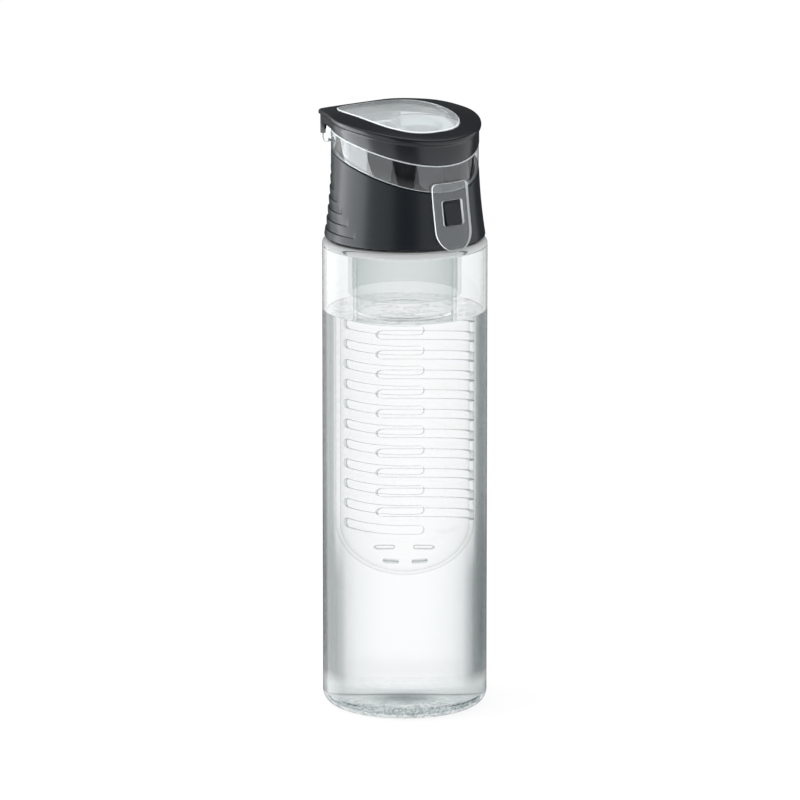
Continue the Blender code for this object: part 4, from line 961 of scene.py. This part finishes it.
def latch_tab():
    """Latch: z runs down the tab and x = u w(z), with w its half width, narrowed at the round lip and the top
    corners; the skin stands at radius 31.5 + 4.5 d^1.3 from the axis, d from 0 at the top to 1 at the lip.
    Skin and outline are drawn in by TAB_EASE, which the wall and the eased edges give back."""
    half, bottom = TAB_HALF_WIDTH, TAB_TOP - TAB_HEIGHT
    hole_low, hole_high = TAB_TOP - 18.2, TAB_TOP - 7.6
    hole_half, hole_corner = 5.1, 1.0
    lip_top, corner_bottom = bottom + half, TAB_TOP - TAB_CORNER
    lip_radius, corner_radius = half - TAB_EASE, TAB_CORNER - TAB_EASE
    u_marks = [-1.0, 1.0] + corner_marks(-hole_half / half, hole_half / half, hole_corner / half)
    v_marks = [lip_top, corner_bottom] + corner_marks(hole_low, hole_high, hole_corner)
    lip_rows = bottom + TAB_EASE + lip_radius * (1 - np.cos(np.linspace(0, np.pi / 2, 14)))
    top_rows = TAB_TOP - TAB_EASE - corner_radius * (1 - np.sin(np.linspace(0, np.pi / 2, 6)))
    v = np.unique(np.round(np.concatenate([lip_rows, lines(v_marks, 1.4), top_rows]), 6))
    u = lines(u_marks, 0.12)
    grid_u, z, quads = holed_grid(u, v, [(-hole_half / half, hole_half / half, hole_low, hole_high,
                                          hole_corner / half, hole_corner)])
    round_lip = np.sqrt(np.maximum(lip_radius ** 2 - np.maximum(lip_top - z, 0) ** 2, 0.02))
    round_top = half - TAB_CORNER + np.sqrt(
        np.maximum(corner_radius ** 2 - np.maximum(z - corner_bottom, 0) ** 2, 0.0))
    x = grid_u * np.minimum(round_lip, round_top)
    down = np.clip((TAB_TOP - z) / TAB_HEIGHT, 0, 1)
    radius = BAND_RADIUS + 0.3 + 4.5 * down ** 1.3 + TAB_EASE
    piece = finish_piece("latch_tab", grid_points(x, -np.sqrt(radius ** 2 - x ** 2), z), quads, "latch",
                         "clear_latch", [LATCH_CLEAR, LIT_EDGE], replaces=["latch_tab"], sharp=60.0,
                         faces_out=False)
    # The wall's rim and the eased edges take LIT_EDGE, a painted highlight
    with_wall(piece, TAB_WALL - 2 * TAB_EASE, inward=False).modifiers["wall"].material_offset_rim = 1
    ease = piece.modifiers.new("eased edges", "BEVEL")
    ease.material = 1
    ease.width = 0.45 * MM
    ease.segments = 3
    ease.limit_method = "ANGLE"
    ease.angle_limit = math.radians(50)
    return piece


def build():
    """Makes every piece; the hidden neck seal keeps its CAD mesh and gets its finish."""
    for make in (bottle, neck_thread, water, infuser_holder, infuser_basket, cap_shell, hinge_barrel,
                 latch_catch, cap_insert, spout, hinge_pin, lid_frame, lid_body):
        make()
    lid_lug("right_hinge_lug", LUG_INNER_X, LUG_OUTER_X)
    lid_lug("left_hinge_lug", -LUG_OUTER_X, -LUG_INNER_X)
    for make in (plug_boss, spout_plug, latch_tab):
        make()
    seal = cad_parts["neck_seal"]
    seal.data.materials.clear()
    seal.data.materials.append(SEAL_SILICONE)


build()

# Studio

VIEW_AZIMUTH = math.radians(-36.6)
VIEW_ELEVATION = math.radians(13.2)
VIEW_DISTANCE = 3.5
PIXELS_PER_METRE = 2353.0
PICTURE_WIDTH = 800


def direction(azimuth, elevation):
    """Unit vector away from the bottle; the azimuth is 0 toward -Y and grows toward +X."""
    flat = math.cos(elevation)
    return Vector((math.sin(azimuth) * flat, -math.cos(azimuth) * flat, math.sin(elevation)))


FORWARD = -direction(VIEW_AZIMUTH, 0)
RIGHT = direction(VIEW_AZIMUTH + math.pi / 2, 0)


def floor():
    """Pale floor: white paper that keeps the object's shadow; to the eye it is mostly its own white."""
    made, tree = new_material("white studio paper")
    path = add(tree, "LightPath")
    seen = add(tree, "Math", {0: path.outputs["Is Camera Ray"], 1: path.outputs["Is Transmission Ray"]},
               operation="MAXIMUM")
    share = add(tree, "Math", {0: seen, 1: 0.88}, operation="MULTIPLY")
    paper = add(tree, "BsdfDiffuse", {"Color": linear("#f8f8f8")})
    white = add(tree, "Emission", {"Color": (1, 1, 1, 1), "Strength": 1.0})
    finished(made, add(tree, "MixShader", {0: share, 1: paper, 2: white}))
    a = angles(64)
    radius = np.array([0.0, 0.5, 2.0, 9.0])[:, None]
    mesh = bpy.data.meshes.new("floor")
    mesh.from_pydata(grid_points(radius * np.cos(a), radius * np.sin(a), -0.0001).tolist(), [],
                     grid_quads(4, 64).tolist())
    mesh.materials.append(made)
    piece = bpy.data.objects.new("floor", mesh)
    bpy.context.scene.collection.objects.link(piece)
    piece.visible_glossy = False


def studio_world():
    """White all round to the eye and through clear things; gloss sees a dim room, lighter behind, and
    below it the white paper."""
    world = bpy.data.worlds.new("studio")
    bpy.context.scene.world = world
    world.use_nodes = True
    tree = world.node_tree
    tree.nodes.clear()
    path = add(tree, "LightPath")
    ray = add(tree, "TexCoord").outputs["Generated"]
    ahead = add(tree, "VectorMath", {0: ray, 1: tuple(FORWARD)}, operation="DOT_PRODUCT")
    aside = add(tree, "VectorMath", {0: ray, 1: tuple(RIGHT)}, operation="DOT_PRODUCT")
    across = add(tree, "MapRange", {"Value": aside, "From Min": -1.0, "From Max": 1.0})
    panels = add(tree, "ValToRGB", {"Fac": across}, [
        (0.0, "#9a9a9a"), (0.03, "#ffffff"), (0.16, "#ffffff"), (0.24, "#595959"), (0.45, "#404040"),
        (1.0, "#303030")])
    backdrop = add(tree, "Math", {0: panels, 1: 1.6}, operation="MULTIPLY")
    behind = add(tree, "MapRange", {"Value": ahead, "From Min": 0.1, "From Max": 0.5, "To Min": 0.035,
                                    "To Max": backdrop}, interpolation_type="SMOOTHSTEP")
    height = add(tree, "SeparateXYZ", {"Vector": ray}).outputs["Z"]
    paper = add(tree, "MapRange", {"Value": height, "From Min": -0.35, "From Max": -0.6, "To Min": behind,
                                   "To Max": 0.95})
    gloss = add(tree, "Mix", {"Factor": path.outputs["Is Glossy Ray"], "A": 0.8, "B": paper})
    clear = add(tree, "Math", {0: path.outputs["Is Camera Ray"], 1: path.outputs["Is Transmission Ray"]},
                operation="MAXIMUM")
    level = add(tree, "Mix", {"Factor": clear, "A": gloss, "B": 1.0})
    light = add(tree, "Background", {"Color": (1, 1, 1, 1), "Strength": level})
    add(tree, "OutputWorld", {"Surface": light})


UNLIT = bpy.data.collections.new("clear bottle and drink, turned away from the softboxes")
for name in ("bottle", "water"):
    UNLIT.objects.link(bpy.data.objects[name])
for entry in UNLIT.collection_objects:
    entry.light_linking.link_state = "EXCLUDE"


def softbox(name, azimuth, elevation, distance, width, height, power):
    """Flat soft lamp facing the bottle; the azimuth is measured from the camera's, counterclockwise seen
    from above."""
    lamp = bpy.data.lights.new(name, "AREA")
    lamp.shape = "RECTANGLE"
    lamp.size, lamp.size_y = width, height
    lamp.energy = power
    lamp.color = (0.95, 0.98, 1.0)
    away = direction(VIEW_AZIMUTH + math.radians(azimuth), math.radians(elevation))
    made = bpy.data.objects.new(name, lamp)
    made.location = Vector((0, 0, 0.16)) + away * distance
    made.rotation_euler = away.to_track_quat("Z", "Y").to_euler()
    made.visible_camera = False
    made.visible_transmission = False
    made.light_linking.receiver_collection = UNLIT
    bpy.context.scene.collection.objects.link(made)


def camera():
    """Camera at the photograph's angle, aimed beside the axis so that the bottle stands as it does there."""
    back = direction(VIEW_AZIMUTH, VIEW_ELEVATION)
    data = bpy.data.cameras.new("camera")
    data.sensor_width = 36.0
    data.lens = data.sensor_width * VIEW_DISTANCE * PIXELS_PER_METRE / PICTURE_WIDTH
    data.clip_start, data.clip_end = 0.05, 50.0
    made = bpy.data.objects.new("camera", data)
    made.location = Vector((0, 0, 0.132)) - RIGHT * (4.8 / PIXELS_PER_METRE) + back * VIEW_DISTANCE
    made.rotation_euler = back.to_track_quat("Z", "Y").to_euler()
    bpy.context.scene.collection.objects.link(made)
    bpy.context.scene.camera = made


floor()
studio_world()
softbox("left softbox", -89, 2, 1.5, 1.66, 2.6, 80)
softbox("left fill", -39, 2, 1.5, 1.21, 2.6, 13)
softbox("right softbox", 74, 2, 1.6, 4.37, 2.6, 46)
softbox("top softbox", 180, 66, 1.6, 1.6, 1.0, 6)
camera()
bpy.context.scene.view_settings.view_transform = "Standard"
